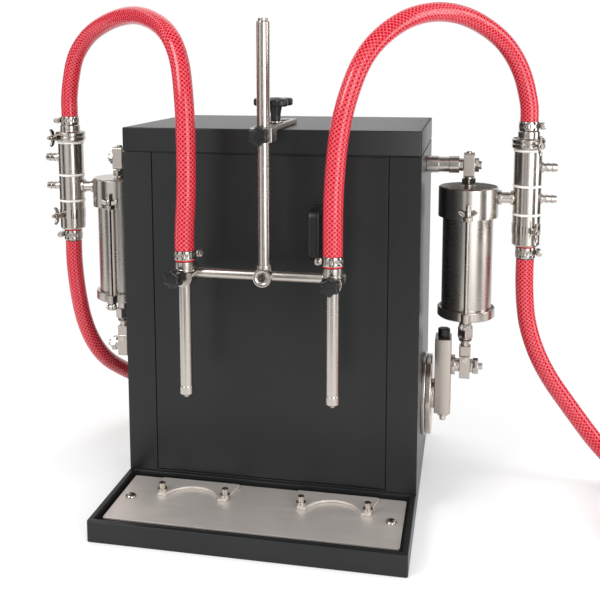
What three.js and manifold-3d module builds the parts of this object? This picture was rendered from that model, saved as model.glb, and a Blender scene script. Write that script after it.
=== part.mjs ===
// Two-head piston filling machine for a bench: a sheet-steel cabinet with a piston pump on each side,
// driven by one crank shaft, and two nozzles on an adjustable stand over a drip tray.
// Millimetres. +Z is up, +X is to the right and +Y runs from the front to the back.
// Pieces are laid out from the middle of the cabinet's front face at floor level.

import * as THREE from 'three';
import { mergeVertices } from 'three/addons/utils/BufferGeometryUtils.js';
import Module from 'manifold-3d';

const wasm = await Module();
wasm.setup();

// General values: fits, overruns for cuts and the number of facets on round work
const gap = 0.3;
const overrun = 1;
const boreClearance = 0.3;
const fineSides = 20;
const roundSides = 12;
const smallSides = 10;
const tinySides = 6;
const flatness = 0.02;
const domeSteps = 3;
const cornerSteps = 1;
const roundSteps = 2;
const bowSteps = 5;
const hexSides = 6;

// Cabinet
const cabinetWidth = 340;
const cabinetDepth = 232;
const cabinetHeight = 433;
const sheet = 2;
const coverHeight = 26.8;
const coverSeam = 1.5;
const coverBevel = 1;
const shoulderHeight = 5;
const frontStripWidth = 34.5;
const frontPanelBottom = 26;
const panelSeam = 0.8;
const panelLip = 10;
const backPanelMargin = 20;
const backPanelBottom = 20;
const backPanelDrop = 14.7;
const louvreWidth = 60;
const louvreHeight = 4;
const louvrePitch = 14;
const louvreCount = 6;
const louvreDrop = 50;
const louvreOffset = 75;

// Panel handle
const handleInset = 79.5;
const handleDrop = 113;
const handleLength = 58;
const handleWidth = 13;
const handleReach = 24;
const handleGrip = 8;
const handleFootLength = 10;
const handleCornerRadius = 7;
const handleStudDiameter = 5;
const handleStudLength = 5;

// Power inlet, switch and speed knob on the back panel
const inletInset = 55;
const inletMiddleZ = 70;
const inletFlangeWidth = 50;
const inletFlangeHeight = 66;
const inletFlangeThickness = 2.5;
const inletBodyWidth = 42;
const inletBodyHeight = 58;
const inletBodyDepth = 26;
const inletCornerRadius = 4;
const socketWidth = 25;
const socketHeight = 17;
const socketDepth = 16;
const socketCornerRadius = 3;
const socketDrop = 14;
const rockerRise = 17;
const rockerWidth = 18;
const rockerRadius = 8.5;
const rockerThickness = 4;
const rockerWellDepth = 14;
const rockerProud = 2.6;
const rockerDip = 1.6;
const rockerDishRadius = 16;
const rockerTilt = 9;
const trunnionDiameter = 3;
const trunnionLength = 2;
const speedKnobSetOff = 35;
const speedKnobDiameter = 24;
const speedKnobHeight = 12;
const speedKnobShaft = 6;
const speedKnobFlutes = 8;
const speedKnobFluteDepth = 0.9;

// Base tray and filling plate
const trayDepth = 126.2;
const trayHeight = 24;
const trayRim = 6;
const trayPocketDepth = 7.3;
const trayHollowHeight = 10;
const trayFoot = 6;
const trayBevel = 0.8;
const trayBackRim = 2;
const plateSideMargin = 4;
const plateFrontMargin = 13.5;
const plateThickness = 2;
const plateBackMargin = 7;
const plateScrewInset = 13;
const plateScrewDiameter = 12;
const plateScrewDome = 3.6;
const plateScrewShank = 6;
const plateScrewLength = 5;

// Container nests on the plate
const containerDiameter = 62;
const containerClearance = 1;
const nestThickness = 3;
const nestArm = 9;
const nestSpread = 6;
const nestFront = 9;
const nestWeb = 15;
const nestPinOffset = 5;
const nestPinY = 17;
const nestPinDiameter = 7.5;
const nestPinHeight = 9;
const nestPinSocket = 3.4;
const nestPinSocketDepth = 2.5;
const nestBossDiameter = 11;
const nestBossHeight = 2.5;

// Stand: slotted rail, block, post and cross bar
const standX = 7;
const postY = -46;
const postDiameter = 14;
const postSeat = 7.6;
const postRise = 109.7;
const postTipDiameter = 10.5;
const postTipHeight = 3;
const postChamfer = 1;
const blockWidth = 24;
const blockDepth = 24;
const blockHeight = 16;
const blockBevel = 0.8;
const railWidth = 18.6;
const railThickness = 6;
const railBack = 92;
const slotFront = -8;
const slotBack = 78;
const railStudY = 14;
const railStudDiameter = 8;
const railStudLength = 12;
const railWasherDiameter = 16;
const railWasherThickness = 1.5;
const railNutWidth = 14;
const railNutHeight = 5;
const railStemDiameter = 11;
const railStemHeight = 17;
const railLobeReach = 18;
const railLobeRadius = 7;
const railLobeCount = 3;
const railLobeWaist = 12;
const railKnobThickness = 8.5;
const postKnobDiameter = 22;
const postKnobThickness = 12;
const postKnobStud = 8;
const postKnobStandOff = 3;
const starLobes = 6;
const starLobeDepth = 1.6;
const starBevel = 1.2;
const starHubShare = 0.62;
const starHubRise = 1.2;
const barSetBack = 2;
const barZ = 279;
const barDiameter = 12;
const barOverhang = 8;
const bossDiameter = 20;
const bossLength = 24;
const bossScrewDiameter = 11;
const bossScrewDepth = 2;
const bossRingDepth = 0.8;
const bossCollarDiameter = 18;
const bossCollarRise = 13;

// Nozzles and their clamps
const nozzleMiddleX = 2.7;
const nozzlePlaceShare = 0.503125;
const nozzleSetForward = 14.6;
const nozzleClampDiameter = 22;
const nozzleClampBack = 10;
const nozzleClampFront = 10.6;
const nozzleClampRise = 4.7;
const nozzleTubeDiameter = 13.6;
const nozzleTubeLength = 128;
const nozzleBore = 4;
const nozzleSleeveDiameter = 14.6;
const nozzleSleeveLength = 10;
const nozzleTipDiameter = 6.4;
const nozzleTipLength = 3;
const nozzleCollarDiameter = 21;
const nozzleCollarHeight = 10.6;
const nozzleNeckDiameter = 15;
const nozzleNeckHeight = 2.4;
const nozzleBandHeight = 9.7;
const nozzleKnobDiameter = 21;
const nozzleKnobThickness = 11;
const nozzleKnobStud = 6;
const nozzleKnobStandOff = 3.6;
const leftKnobAngle = -0.35;
const leftHousingAngle = 0.9;
const rightHousingAngle = 3.3;

// Hose bands
const bandThickness = 1.2;
const bandHousingLength = 13;
const bandHousingWidth = 8;
const bandHousingHeight = 8;
const bandScrewDiameter = 6.5;
const bandScrewHead = 3;

// Crank shaft, bearings, discs and adjusters
const crankY = 113;
const crankZ = 101;
const shaftDiameter = 20;
const shaftInset = 0.5;
const bearingFlangeDiameter = 100;
const bearingFlangeThickness = 4;
const bearingBarrelDiameter = 43.4;
const bearingBarrelLength = 22;
const discDiameter = 97;
const discThickness = 6;
const discStandOff = 0.7;
const discHubDiameter = 36;
const discHubLength = 2.7;
const discRimChamfer = 1;
const adjusterWidth = 19.5;
const adjusterDepth = 30;
const adjusterTop = 73;
const adjusterBottom = 20;
const adjusterEndWall = 9;
const adjusterBackWall = 4;
const adjusterLip = 3;
const adjusterChannel = 20.6;
const adjusterSlot = 12.6;
const adjusterBevel = 0.6;
const crankRadius = 38.3;
const sliderHeight = 18;
const screwDiameter = 8;
const adjusterKnobDiameter = 14.6;
const adjusterKnobHeight = 10.2;
const adjusterKnobFlutes = 6;
const adjusterKnobFluteDepth = 0.5;
const adjusterNutWidth = 12.5;
const adjusterNutHeight = 6;
const adjusterTailLength = 6;

// Gear motor inside the cabinet
const gearboxLength = 76;
const gearboxDepth = 84;
const gearboxHeight = 92;
const gearboxFootLength = 110;
const gearboxFootHeight = 8;
const gearboxCornerRadius = 12;
const motorDiameter = 74;
const motorHeight = 140;
const motorFlangeDiameter = 84;
const motorFlangeThickness = 8;

// Pumps
const pumpStandOff = 49.5;
const pivotDrop = 48;
const pivotRootDiameter = 20;
const pivotStepDiameter = 18;
const pivotStepLength = 12;
const pivotStepPlace = 14;
const pivotNeckDiameter = 15;
const pivotNeckLength = 4.7;
const pivotPinDiameter = 10;
const pivotTailDiameter = 12;
const pivotTailLength = 14;
const pivotNutWidth = 19;
const pivotNutThickness = 7;
const pivotEndNutWidth = 11.5;
const pivotEndNutLength = 8;
const nutWidthShare = 1.4;
const nutLengthShare = 0.6;
const yokeWidth = 12.8;
const yokeDepth = 20;
const yokeHeight = 28;
const yokeEdgeRadius = 2;
const stemDiameter = 10;
const stemHexWidth = 16;
const stemHexHeight = 7;
const stemHexDrop = 2;
const capWall = 5.5;
const capDrop = 25;
const capHeight = 36;
const capCrown = 12;
const capChamfer = 1.6;
const barrelDiameter = 59;
const barrelWall = 3.5;
const barrelSeat = 11;
const baseWall = 4.5;
const baseHeight = 12;
const baseFloor = 6;
const glandDiameter = 15;
const glandLength = 14;
const glandHexWidth = 17.7;
const glandHexHeight = 13;
const glandRingDiameter = 15.4;
const glandRingHeight = 5;
const glandClearance = 5.5;
const tieRodDiameter = 5;
const tieRodClearance = 0.4;
const tieRodRise = 19;
const tieLugWidth = 11;
const tieLugHeight = 5;
const tieLugMargin = 4.5;
const wingSpan = 23;
const wingHeight = 9;
const wingThickness = 2.6;
const wingHubDiameter = 7.6;
const wingHubHeight = 7;
const rodDiameter = 10;
const pistonHeight = 18;
const pistonTopClearance = 3;
const pistonRunning = 0.3;
const ringGroove = 1;
const clevisWidth = 13.5;
const clevisHeight = 11.5;
const clevisRise = 13.7;
const clevisSocketDepth = 8;
const rodEndWidth = 12.6;
const rodEndDepth = 17;
const rodEndDrop = 14.5;
const rodEndEdgeRadius = 2;
const pinWasherDiameter = 24;
const pinWasherThickness = 4.4;
const pinSpacerDiameter = 16;
const pinNutWidth = 17;
const pinNutThickness = 7;
const pinTipLength = 5;
const pinTipDiameter = 8;
const pinOuterWasher = 3;

// Valves beside the pumps
const valveDiameter = 32;
const valveFootDrop = 54;
const valveHeadRise = 58;
const valveBore = 24;
const valveFootChamfer = 2;
const valveRingProud = 0.6;
const valveRingHeight = 2.5;
const upperRingRise = 13.7;
const lowerRingDrop = 19.7;
const portDrop = 13;
const portLength = 16.2;
const portDiameter = 13;
const portFlangeDiameter = 17;
const portFlangeThickness = 3;
const portInset = 5;
const spigotDiameter = 24;
const spigotHeight = 4;
const bandHeight = 12.5;
const bandRise = 1.2;
const flowBore = 7;
const clipDiameter = 38;
const clipHeight = 12.7;
const outletNeckDiameter = 25;
const outletNeckHeight = 9;
const outletBandHeight = 10;
const outletSpigotDepth = 8;
const clipLugLength = 9;
const clipLugWidth = 8;
const clipWingAngle = 0.35;
const clipWingDrop = 81;
const upperBarbRise = 37;
const upperBarbDiameter = 11;
const lowerBarbDiameter = 10;
const barbReach = 33.3;
const barbRidges = 2;
const barbNeckShare = 0.84;

// Hoses
const hoseDiameter = 21;
const hoseSides = 8;
const coilSides = 6;
const coilStepsPerTurn = 24;
const hoseStep = 34;
const coilLead = 14;
const floorLift = 0.2;
const coilRadius = 109;
const coilInset = 4;
const coilTurns = 1.6;
const coilLayer = 21.5;
const coilClimbShare = 0.68;
const coilLayShare = 0.9;
const rightCoilX = 490;
const leftCoilX = -68;
const leftCoilY = 362;

// Materials
const finishes = {
  black_steel: [0x303132, 0.55, 0.3],
  stainless: [0xc9c6c2, 0.28, 0.95],
  brushed_plate: [0xb9b6b1, 0.42, 0.9],
  black_plastic: [0x17181a, 0.5, 0.05],
  grey_casting: [0x8d9092, 0.6, 0.5],
  red_hose: [0xd4213a, 0.35, 0.0],
};

const machine = new THREE.Group();

// Turns a closed three.js geometry into a solid: shared corners are merged, empty triangles are
// dropped, and the faces are turned outwards where the enclosed volume comes out negative.
function solidOf(geometry) {
  const plain = geometry.clone();
  plain.deleteAttribute('normal');
  plain.deleteAttribute('uv');
  const merged = mergeVertices(plain);
  const places = merged.getAttribute('position');
  const corners = [];
  let volume = 0;
  const a = new THREE.Vector3();
  const b = new THREE.Vector3();
  const c = new THREE.Vector3();
  for (let i = 0; i < merged.index.count; i += 3) {
    const [p, q, r] = [0, 1, 2].map((k) => merged.index.getX(i + k));
    if (p === q || q === r || r === p) continue;
    corners.push(p, q, r);
    a.fromBufferAttribute(places, p);
    b.fromBufferAttribute(places, q);
    c.fromBufferAttribute(places, r);
    volume += a.dot(b.cross(c));
  }
  if (volume < 0) corners.reverse();
  const mesh = new wasm.Mesh({
    numProp: 3,
    vertProperties: new Float32Array(places.array),
    triVerts: new Uint32Array(corners),
  });
  return new wasm.Manifold(mesh);
}

function geometryOf(solid) {
  const mesh = solid.getMesh();
  const geometry = new THREE.BufferGeometry();
  geometry.setAttribute('position', new THREE.BufferAttribute(mesh.vertProperties, 3));
  geometry.setIndex(new THREE.BufferAttribute(mesh.triVerts, 1));
  return geometry;
}

const join = (first, ...others) => others.reduce((sum, other) => sum.add(other), first);
const cut = (first, ...others) => others.reduce((rest, other) => rest.subtract(other), first);

// Adds a piece, its flat faces merged so that they take as few triangles as they can
function addPiece(name, solid, finish) {
  const [color, roughness, metalness] = finishes[finish];
  const material = new THREE.MeshStandardMaterial({ color, roughness, metalness });
  const mesh = new THREE.Mesh(geometryOf(solid.asOriginal().simplify(flatness)), material);
  mesh.name = name;
  machine.add(mesh);
}

// A box from its lowest corner to its highest
function box(low, high) {
  const size = high.map((value, axis) => value - low[axis]);
  const geometry = new THREE.BoxGeometry(...size);
  geometry.translate(...low.map((value, axis) => value + size[axis] / 2));
  return solidOf(geometry);
}

// Lays work that was made along Z along another axis, then moves it to its place.
// Along X it runs to the right, along Y to the back and along -Y to the front.
function lay(geometry, direction, place) {
  if (direction === 'x') geometry.rotateY(Math.PI / 2);
  if (direction === 'y') geometry.rotateX(-Math.PI / 2);
  if (direction === '-y') geometry.rotateX(Math.PI / 2);
  geometry.translate(...place);
  return solidOf(geometry);
}

// A turned piece: pairs of radius and height along its axis, from the axis back to the axis,
// or a loop that closes on itself for a ring
function turned(outline, sides, direction, place) {
  const points = outline.map(([radius, height]) => new THREE.Vector2(radius, height));
  const first = outline[0];
  const last = outline[outline.length - 1];
  const onAxis = first[0] === 0 && last[0] === 0;
  if (!onAxis) points.push(points[0].clone());
  const geometry = new THREE.LatheGeometry(points, sides);
  geometry.rotateX(Math.PI / 2);
  return lay(geometry, direction, place);
}

function rod(diameter, from, to, sides, direction, place) {
  const radius = diameter / 2;
  return turned([[0, from], [radius, from], [radius, to], [0, to]], sides, direction, place);
}

// A hexagon as wide across its flats as it says, with its flats across X
function hexagon(width, from, to, direction, place) {
  const corner = width / 2 / Math.cos(Math.PI / hexSides);
  const geometry = new THREE.CylinderGeometry(corner, corner, to - from, hexSides);
  geometry.rotateX(Math.PI / 2);
  geometry.translate(0, 0, (from + to) / 2);
  return lay(geometry, direction, place);
}

// A rectangle with round corners, centred on the origin
function roundedOutline(width, height, radius) {
  const [x, y] = [width / 2 - radius, height / 2 - radius];
  const shape = new THREE.Shape();
  shape.absarc(x, y, radius, 0, Math.PI / 2);
  shape.absarc(-x, y, radius, Math.PI / 2, Math.PI);
  shape.absarc(-x, -y, radius, Math.PI, Math.PI * 3 / 2);
  shape.absarc(x, -y, radius, Math.PI * 3 / 2, Math.PI * 2);
  return shape;
}

function extruded(shape, length, direction, place, segments = cornerSteps, bevel = 0) {
  const geometry = new THREE.ExtrudeGeometry(shape, {
    depth: length - 2 * bevel,
    curveSegments: segments,
    bevelEnabled: bevel > 0,
    bevelThickness: bevel,
    bevelSize: bevel,
    bevelOffset: -bevel,
    bevelSegments: 1,
  });
  geometry.translate(0, 0, bevel);
  return lay(geometry, direction, place);
}

// A knob's outline: a circle whose radius rises and falls around it
function lobedShape(radius, lobes, depth, turn) {
  const count = Math.max(lobes * 4, roundSides * 2);
  const points = Array.from({ length: count }, (_, i) => {
    const angle = 2 * Math.PI * i / count;
    const reach = radius - depth * (1 - Math.cos(lobes * angle)) / 2;
    return new THREE.Vector2(reach * Math.cos(angle + turn), reach * Math.sin(angle + turn));
  });
  return new THREE.Shape(points);
}

// Mirrors a right-hand solid to the left
const mirrored = (solid) => solidOf(geometryOf(solid).scale(-1, 1, 1));

// Adds a piece on the right and its mirror image on the left
function addPair(name, solid, finish) {
  addPiece(`${name}_right`, solid, finish);
  addPiece(`${name}_left`, mirrored(solid), finish);
}

// A wing nut along Z: a conical hub with two upright ears
function wingNut(bottom, place, turn) {
  const hub = turned([
    [0, bottom],
    [wingHubDiameter / 2, bottom],
    [wingHubDiameter / 2, bottom + wingHubHeight * 2 / 3],
    [wingHubDiameter * 3 / 8, bottom + wingHubHeight],
    [0, bottom + wingHubHeight],
  ], tinySides, 'z', [0, 0, 0]);
  const ear = new THREE.Shape();
  ear.moveTo(0, 0);
  ear.lineTo(wingSpan / 4, 0);
  ear.quadraticCurveTo(wingSpan / 2, wingHeight / 3, wingSpan / 2, wingHeight);
  ear.lineTo(wingSpan * 3 / 8, wingHeight);
  ear.lineTo(0, wingHeight / 2);
  const half = extruded(ear, wingThickness, '-y', [0, wingThickness / 2, bottom], roundSteps);
  const whole = join(hub, half, mirrored(half));
  const geometry = geometryOf(whole);
  geometry.rotateZ(turn);
  geometry.translate(...place);
  return solidOf(geometry);
}

// A worm band's screw housing beside the band, standing off in +X, with its screw along Y
function bandHousing(radius, bottom, height, place, turn) {
  const inner = radius - overrun;
  const outer = radius + bandHousingWidth - overrun;
  const low = bottom + (height - bandHousingHeight) / 2;
  const housing = extruded(
    roundedOutline(outer - inner, bandHousingHeight, bandHousingHeight / 4), bandHousingLength, 'y',
    [(inner + outer) / 2, -bandHousingLength / 2, low + bandHousingHeight / 2]);
  const head = rod(bandScrewDiameter, -bandHousingLength / 2 - bandScrewHead, 0, tinySides, 'y',
    [(inner + outer) / 2, 0, low + bandHousingHeight / 2]);
  const geometry = geometryOf(join(housing, head));
  geometry.rotateZ(turn);
  geometry.translate(...place);
  return solidOf(geometry);
}

// Cabinet: a folded shell, open at the front and back for its panels, with a neck for the cover
const halfWidth = cabinetWidth / 2;
const coverBottom = cabinetHeight - coverHeight;
const shellTop = coverBottom - coverSeam;
const rebate = sheet + gap;
const wallDepth = rebate + sheet;
const neckTop = cabinetHeight - sheet - gap;
const frontHalfWidth = halfWidth - frontStripWidth;
const panelBack = cabinetDepth + gap;
const backHalfWidth = halfWidth - backPanelMargin;
const backPanelTop = shellTop - backPanelDrop;
const handleX = frontHalfWidth - handleInset;
const handleMiddleZ = cabinetHeight - handleDrop;
const crankPlace = [0, crankY, crankZ];
const pivotZ = cabinetHeight - pivotDrop;
const pivotPlace = [0, crankY, pivotZ];
const handleStudPlace = (handleLength - handleFootLength) / 2;
const handleEnds = [-1, 1];

function makeHousing() {
  const shell = box([-halfWidth, 0, 0], [halfWidth, cabinetDepth, shellTop]);
  const neck = box([-halfWidth + rebate, rebate, shellTop - overrun],
    [halfWidth - rebate, cabinetDepth - rebate, neckTop]);
  const hollow = box([-halfWidth + sheet, wallDepth, sheet],
    [halfWidth - sheet, cabinetDepth - wallDepth, shellTop - shoulderHeight]);
  const neckHollow = box([-halfWidth + wallDepth, wallDepth, shellTop - shoulderHeight - overrun],
    [halfWidth - wallDepth, cabinetDepth - wallDepth, neckTop + overrun]);
  const frontRebate = box([-frontHalfWidth, -overrun, frontPanelBottom],
    [frontHalfWidth, rebate, shellTop + overrun]);
  const frontOpening = box([-frontHalfWidth + panelLip, -overrun, frontPanelBottom + panelLip],
    [frontHalfWidth - panelLip, wallDepth + overrun, shellTop - shoulderHeight - panelLip]);
  const backRebate = box([-backHalfWidth, cabinetDepth - rebate, backPanelBottom],
    [backHalfWidth, cabinetDepth + overrun, backPanelTop]);
  const backOpening = box(
    [-backHalfWidth + panelLip, cabinetDepth - wallDepth - overrun, backPanelBottom + panelLip],
    [backHalfWidth - panelLip, cabinetDepth + overrun, backPanelTop - panelLip]);
  const bearingHole = rod(bearingBarrelDiameter + 2 * boreClearance, -halfWidth - overrun,
    halfWidth + overrun, fineSides, 'x', crankPlace);
  const pivotHole = rod(pivotTailDiameter + 2 * boreClearance, -halfWidth - overrun,
    halfWidth + overrun, smallSides, 'x', pivotPlace);
  return cut(join(shell, neck), hollow, neckHollow, frontRebate, frontOpening, backRebate,
    backOpening, bearingHole, pivotHole);
}

function makeCover() {
  const lid = extruded(roundedOutline(cabinetWidth, cabinetDepth, 2 * coverBevel),
    coverHeight + 2 * coverBevel, 'z', [0, cabinetDepth / 2, coverBottom - 2 * coverBevel],
    cornerSteps, coverBevel);
  const below = box([-cabinetWidth, -cabinetDepth, 0], [cabinetWidth, 2 * cabinetDepth, coverBottom]);
  const inside = box([-halfWidth + sheet, sheet, 0],
    [halfWidth - sheet, cabinetDepth - sheet, cabinetHeight - sheet]);
  const nut = hexagon(railNutWidth, cabinetHeight - sheet - railNutHeight, cabinetHeight - sheet / 2,
    'z', [standX, railStudY, 0]);
  const studHole = rod(railStudDiameter + 2 * boreClearance, cabinetHeight - 2 * railStudLength,
    cabinetHeight + overrun, smallSides, 'z', [standX, railStudY, 0]);
  return cut(join(cut(lid, below, inside), nut), studHole);
}

function makeFrontPanel() {
  const half = frontHalfWidth - panelSeam;
  const panel = box([-half, 0, frontPanelBottom + panelSeam], [half, sheet, shellTop - panelSeam]);
  const holes = handleEnds.map((end) => rod(handleStudDiameter + 2 * boreClearance, -overrun,
    sheet + overrun, tinySides, 'y', [handleX, 0, handleMiddleZ + end * handleStudPlace]));
  return cut(panel, ...holes);
}

function makeBackPanel() {
  const half = backHalfWidth - panelSeam;
  const face = cabinetDepth - sheet - overrun;
  const depth = sheet + 2 * overrun;
  const panel = box([-half, cabinetDepth - sheet, backPanelBottom + panelSeam],
    [half, cabinetDepth, backPanelTop - panelSeam]);
  const louvres = Array.from({ length: louvreCount * 2 }, (_, i) => {
    const x = i % 2 ? louvreOffset : -louvreOffset;
    const z = backPanelTop - louvreDrop - Math.floor(i / 2) * louvrePitch;
    return box([x - louvreWidth / 2, face, z - louvreHeight / 2],
      [x + louvreWidth / 2, face + depth, z + louvreHeight / 2]);
  });
  const inletHole = extruded(
    roundedOutline(inletBodyWidth + 2 * gap, inletBodyHeight + 2 * gap, inletCornerRadius),
    depth, 'y', [inletX, face, inletMiddleZ]);
  const knobHole = rod(speedKnobShaft + 2 * boreClearance, face, face + depth, smallSides, 'y',
    [speedKnobX, 0, inletMiddleZ]);
  return cut(panel, ...louvres, inletHole, knobHole);
}

// Bridge handle: a bow with round corners, seen from the side, with studs through the panel
function bow(length, reach, corner, width) {
  const shape = new THREE.Shape();
  const half = length / 2;
  shape.moveTo(-overrun, -half);
  shape.lineTo(reach - corner, -half);
  shape.absarc(reach - corner, -half + corner, corner, -Math.PI / 2, 0);
  shape.absarc(reach - corner, half - corner, corner, 0, Math.PI / 2);
  shape.lineTo(-overrun, half);
  const geometry = new THREE.ExtrudeGeometry(shape, {
    depth: width, curveSegments: bowSteps, bevelEnabled: false });
  geometry.translate(0, 0, -width / 2);
  geometry.rotateX(Math.PI / 2);
  geometry.rotateZ(-Math.PI / 2);
  geometry.translate(handleX, -gap, handleMiddleZ);
  return solidOf(geometry);
}

function makeHandle() {
  const outer = bow(handleLength, handleReach, handleCornerRadius, handleWidth);
  const finger = bow(handleLength - 2 * handleFootLength, handleReach - handleGrip,
    handleCornerRadius / 2, handleWidth + 2 * overrun);
  const behind = box([0, -gap, 0], [cabinetWidth, cabinetDepth, cabinetHeight]);
  const studs = handleEnds.map((end) => rod(handleStudDiameter, -gap - overrun, handleStudLength,
    tinySides, 'y', [handleX, 0, handleMiddleZ + end * handleStudPlace]));
  return join(cut(outer, finger, behind), ...studs);
}

// Power inlet with its socket and the well of the rocker, the rocker and the speed knob
const inletX = backHalfWidth - inletInset;
const speedKnobX = inletX - inletFlangeWidth / 2 - speedKnobSetOff;
const inletFace = panelBack + inletFlangeThickness;
const rockerZ = inletMiddleZ + rockerRise;
const rockerPivotY = inletFace - rockerRadius + rockerProud;

function makeInlet() {
  const flange = extruded(roundedOutline(inletFlangeWidth, inletFlangeHeight, inletCornerRadius),
    inletFlangeThickness, 'y', [inletX, panelBack, inletMiddleZ], roundSteps, gap);
  const body = extruded(roundedOutline(inletBodyWidth, inletBodyHeight, inletCornerRadius),
    inletBodyDepth, 'y', [inletX, panelBack + overrun - inletBodyDepth, inletMiddleZ]);
  const socket = extruded(roundedOutline(socketWidth, socketHeight, socketCornerRadius),
    socketDepth + overrun, 'y', [inletX, inletFace - socketDepth, inletMiddleZ - socketDrop], roundSteps);
  const well = box(
    [inletX - rockerWidth / 2, inletFace - rockerWellDepth, rockerZ - rockerRadius - gap],
    [inletX + rockerWidth / 2, inletFace + overrun, rockerZ + rockerRadius + gap]);
  const trunnionHole = rod(trunnionDiameter + 2 * boreClearance,
    -rockerWidth / 2 - trunnionLength - gap, rockerWidth / 2 + trunnionLength + gap, tinySides, 'x',
    [inletX, rockerPivotY, rockerZ]);
  return cut(join(flange, body), socket, well, trunnionHole);
}

// Rocker: the front of a disc about its pivot, dished, with short trunnions in the well's sides.
// It rests pressed in at one end.
function makeRocker() {
  const width = rockerWidth - 2 * gap;
  const disc = rod(2 * rockerRadius, -width / 2, width / 2, roundSides, 'x', [0, 0, 0]);
  const behind = box([-width, -2 * rockerRadius, -2 * rockerRadius],
    [width, -rockerThickness / 2, 2 * rockerRadius]);
  const dish = rod(2 * rockerDishRadius, -width, width, fineSides, 'x',
    [0, rockerRadius + rockerDishRadius - rockerDip, 0]);
  const trunnion = rod(trunnionDiameter, -rockerWidth / 2 - trunnionLength,
    rockerWidth / 2 + trunnionLength, tinySides, 'x', [0, 0, 0]);
  const geometry = geometryOf(join(cut(disc, behind, dish), trunnion));
  geometry.rotateX(THREE.MathUtils.degToRad(rockerTilt));
  geometry.translate(inletX, rockerPivotY, rockerZ);
  return solidOf(geometry);
}

function makeSpeedKnob() {
  const knob = extruded(
    lobedShape(speedKnobDiameter / 2, speedKnobFlutes, speedKnobFluteDepth, 0), speedKnobHeight,
    'y', [speedKnobX, panelBack, inletMiddleZ], cornerSteps, speedKnobFluteDepth);
  const shaft = rod(speedKnobShaft, cabinetDepth - 2 * sheet, panelBack + overrun, smallSides, 'y',
    [speedKnobX, 0, inletMiddleZ]);
  return join(knob, shaft);
}

addPiece('cabinet_housing', makeHousing(), 'black_steel');
addPiece('top_cover', makeCover(), 'black_steel');
addPiece('front_panel', makeFrontPanel(), 'black_steel');
addPiece('back_panel', makeBackPanel(), 'black_steel');
addPiece('panel_handle', makeHandle(), 'black_plastic');
addPiece('power_inlet', makeInlet(), 'black_plastic');
addPiece('power_rocker', makeRocker(), 'black_plastic');
addPiece('speed_knob', makeSpeedKnob(), 'black_plastic');

// Base tray, with a pocket for the plate on top and hollow below, and the plate with its screws
const trayFront = -gap - trayDepth;
const pocketFloor = trayHeight - trayPocketDepth;
const plateBottom = pocketFloor + gap;
const plateTop = plateBottom + plateThickness;
const plateFront = trayFront + trayRim + plateFrontMargin;
const plateDepth = -plateBackMargin - plateFront;
const plateMiddleY = plateFront + plateDepth / 2;
const plateHalfWidth = halfWidth - trayRim - plateSideMargin;
const plateScrewX = plateHalfWidth - plateScrewInset;
const plateSides = [-1, 1];

function makeTray() {
  const body = extruded(roundedOutline(cabinetWidth, trayDepth, 2 * trayBevel), trayHeight, 'z',
    [0, -gap - trayDepth / 2, 0], roundSteps, trayBevel);
  const pocket = box([-halfWidth + trayRim, trayFront + trayRim, pocketFloor],
    [halfWidth - trayRim, -gap - trayBackRim, trayHeight + overrun]);
  const hollow = box([-halfWidth + trayFoot, trayFront + trayFoot, -overrun],
    [halfWidth - trayFoot, -gap - trayFoot, trayHollowHeight]);
  const holes = plateSides.map((side) => rod(plateScrewShank + 2 * boreClearance, 0, trayHeight,
    smallSides, 'z', [side * plateScrewX, plateMiddleY, 0]));
  return cut(body, pocket, hollow, ...holes);
}

function makePlate() {
  const outline = roundedOutline(2 * plateHalfWidth, plateDepth, plateThickness);
  const plate = extruded(outline, plateThickness, 'z', [0, plateMiddleY, plateBottom], roundSteps);
  const holes = plateSides.map((side) => rod(plateScrewShank + 2 * boreClearance, 0, trayHeight,
    smallSides, 'z', [side * plateScrewX, plateMiddleY, 0]));
  return cut(plate, ...holes);
}

function makePlateScrew() {
  const head = plateTop + gap;
  const radius = plateScrewDiameter / 2;
  const crown = Array.from({ length: domeSteps }, (_, step) => {
    const angle = step / domeSteps * Math.PI / 2;
    return [radius * Math.cos(angle), head + plateScrewDome * Math.sin(angle)];
  });
  return turned([
    [0, plateBottom - plateScrewLength],
    [plateScrewShank / 2, plateBottom - plateScrewLength],
    [plateScrewShank / 2, head],
    ...crown,
    [0, head + plateScrewDome],
  ], smallSides, 'z', [plateScrewX, plateMiddleY, 0]);
}

addPiece('base_tray', makeTray(), 'black_steel');
addPiece('filling_plate', makePlate(), 'brushed_plate');
addPair('plate_screw', makePlateScrew(), 'stainless');

// Nest: a fork that wraps the back of a container's foot, on two bosses with socket-headed pins
const barY = postY + barSetBack;
const nozzleY = barY - nozzleSetForward;
const nozzleHalfSpacing = plateHalfWidth * nozzlePlaceShare;
const nozzleX = { left: nozzleMiddleX - nozzleHalfSpacing, right: nozzleMiddleX + nozzleHalfSpacing };
const nestBottom = plateTop + gap;
const nestRadius = containerDiameter / 2 + containerClearance;
const nestFrontHalfWidth = nestRadius + nestArm;
const nestBackHalfWidth = nestFrontHalfWidth + nestSpread;
const nestBack = nestRadius + nestWeb;
const nestPinX = nestRadius + nestPinOffset;

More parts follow.
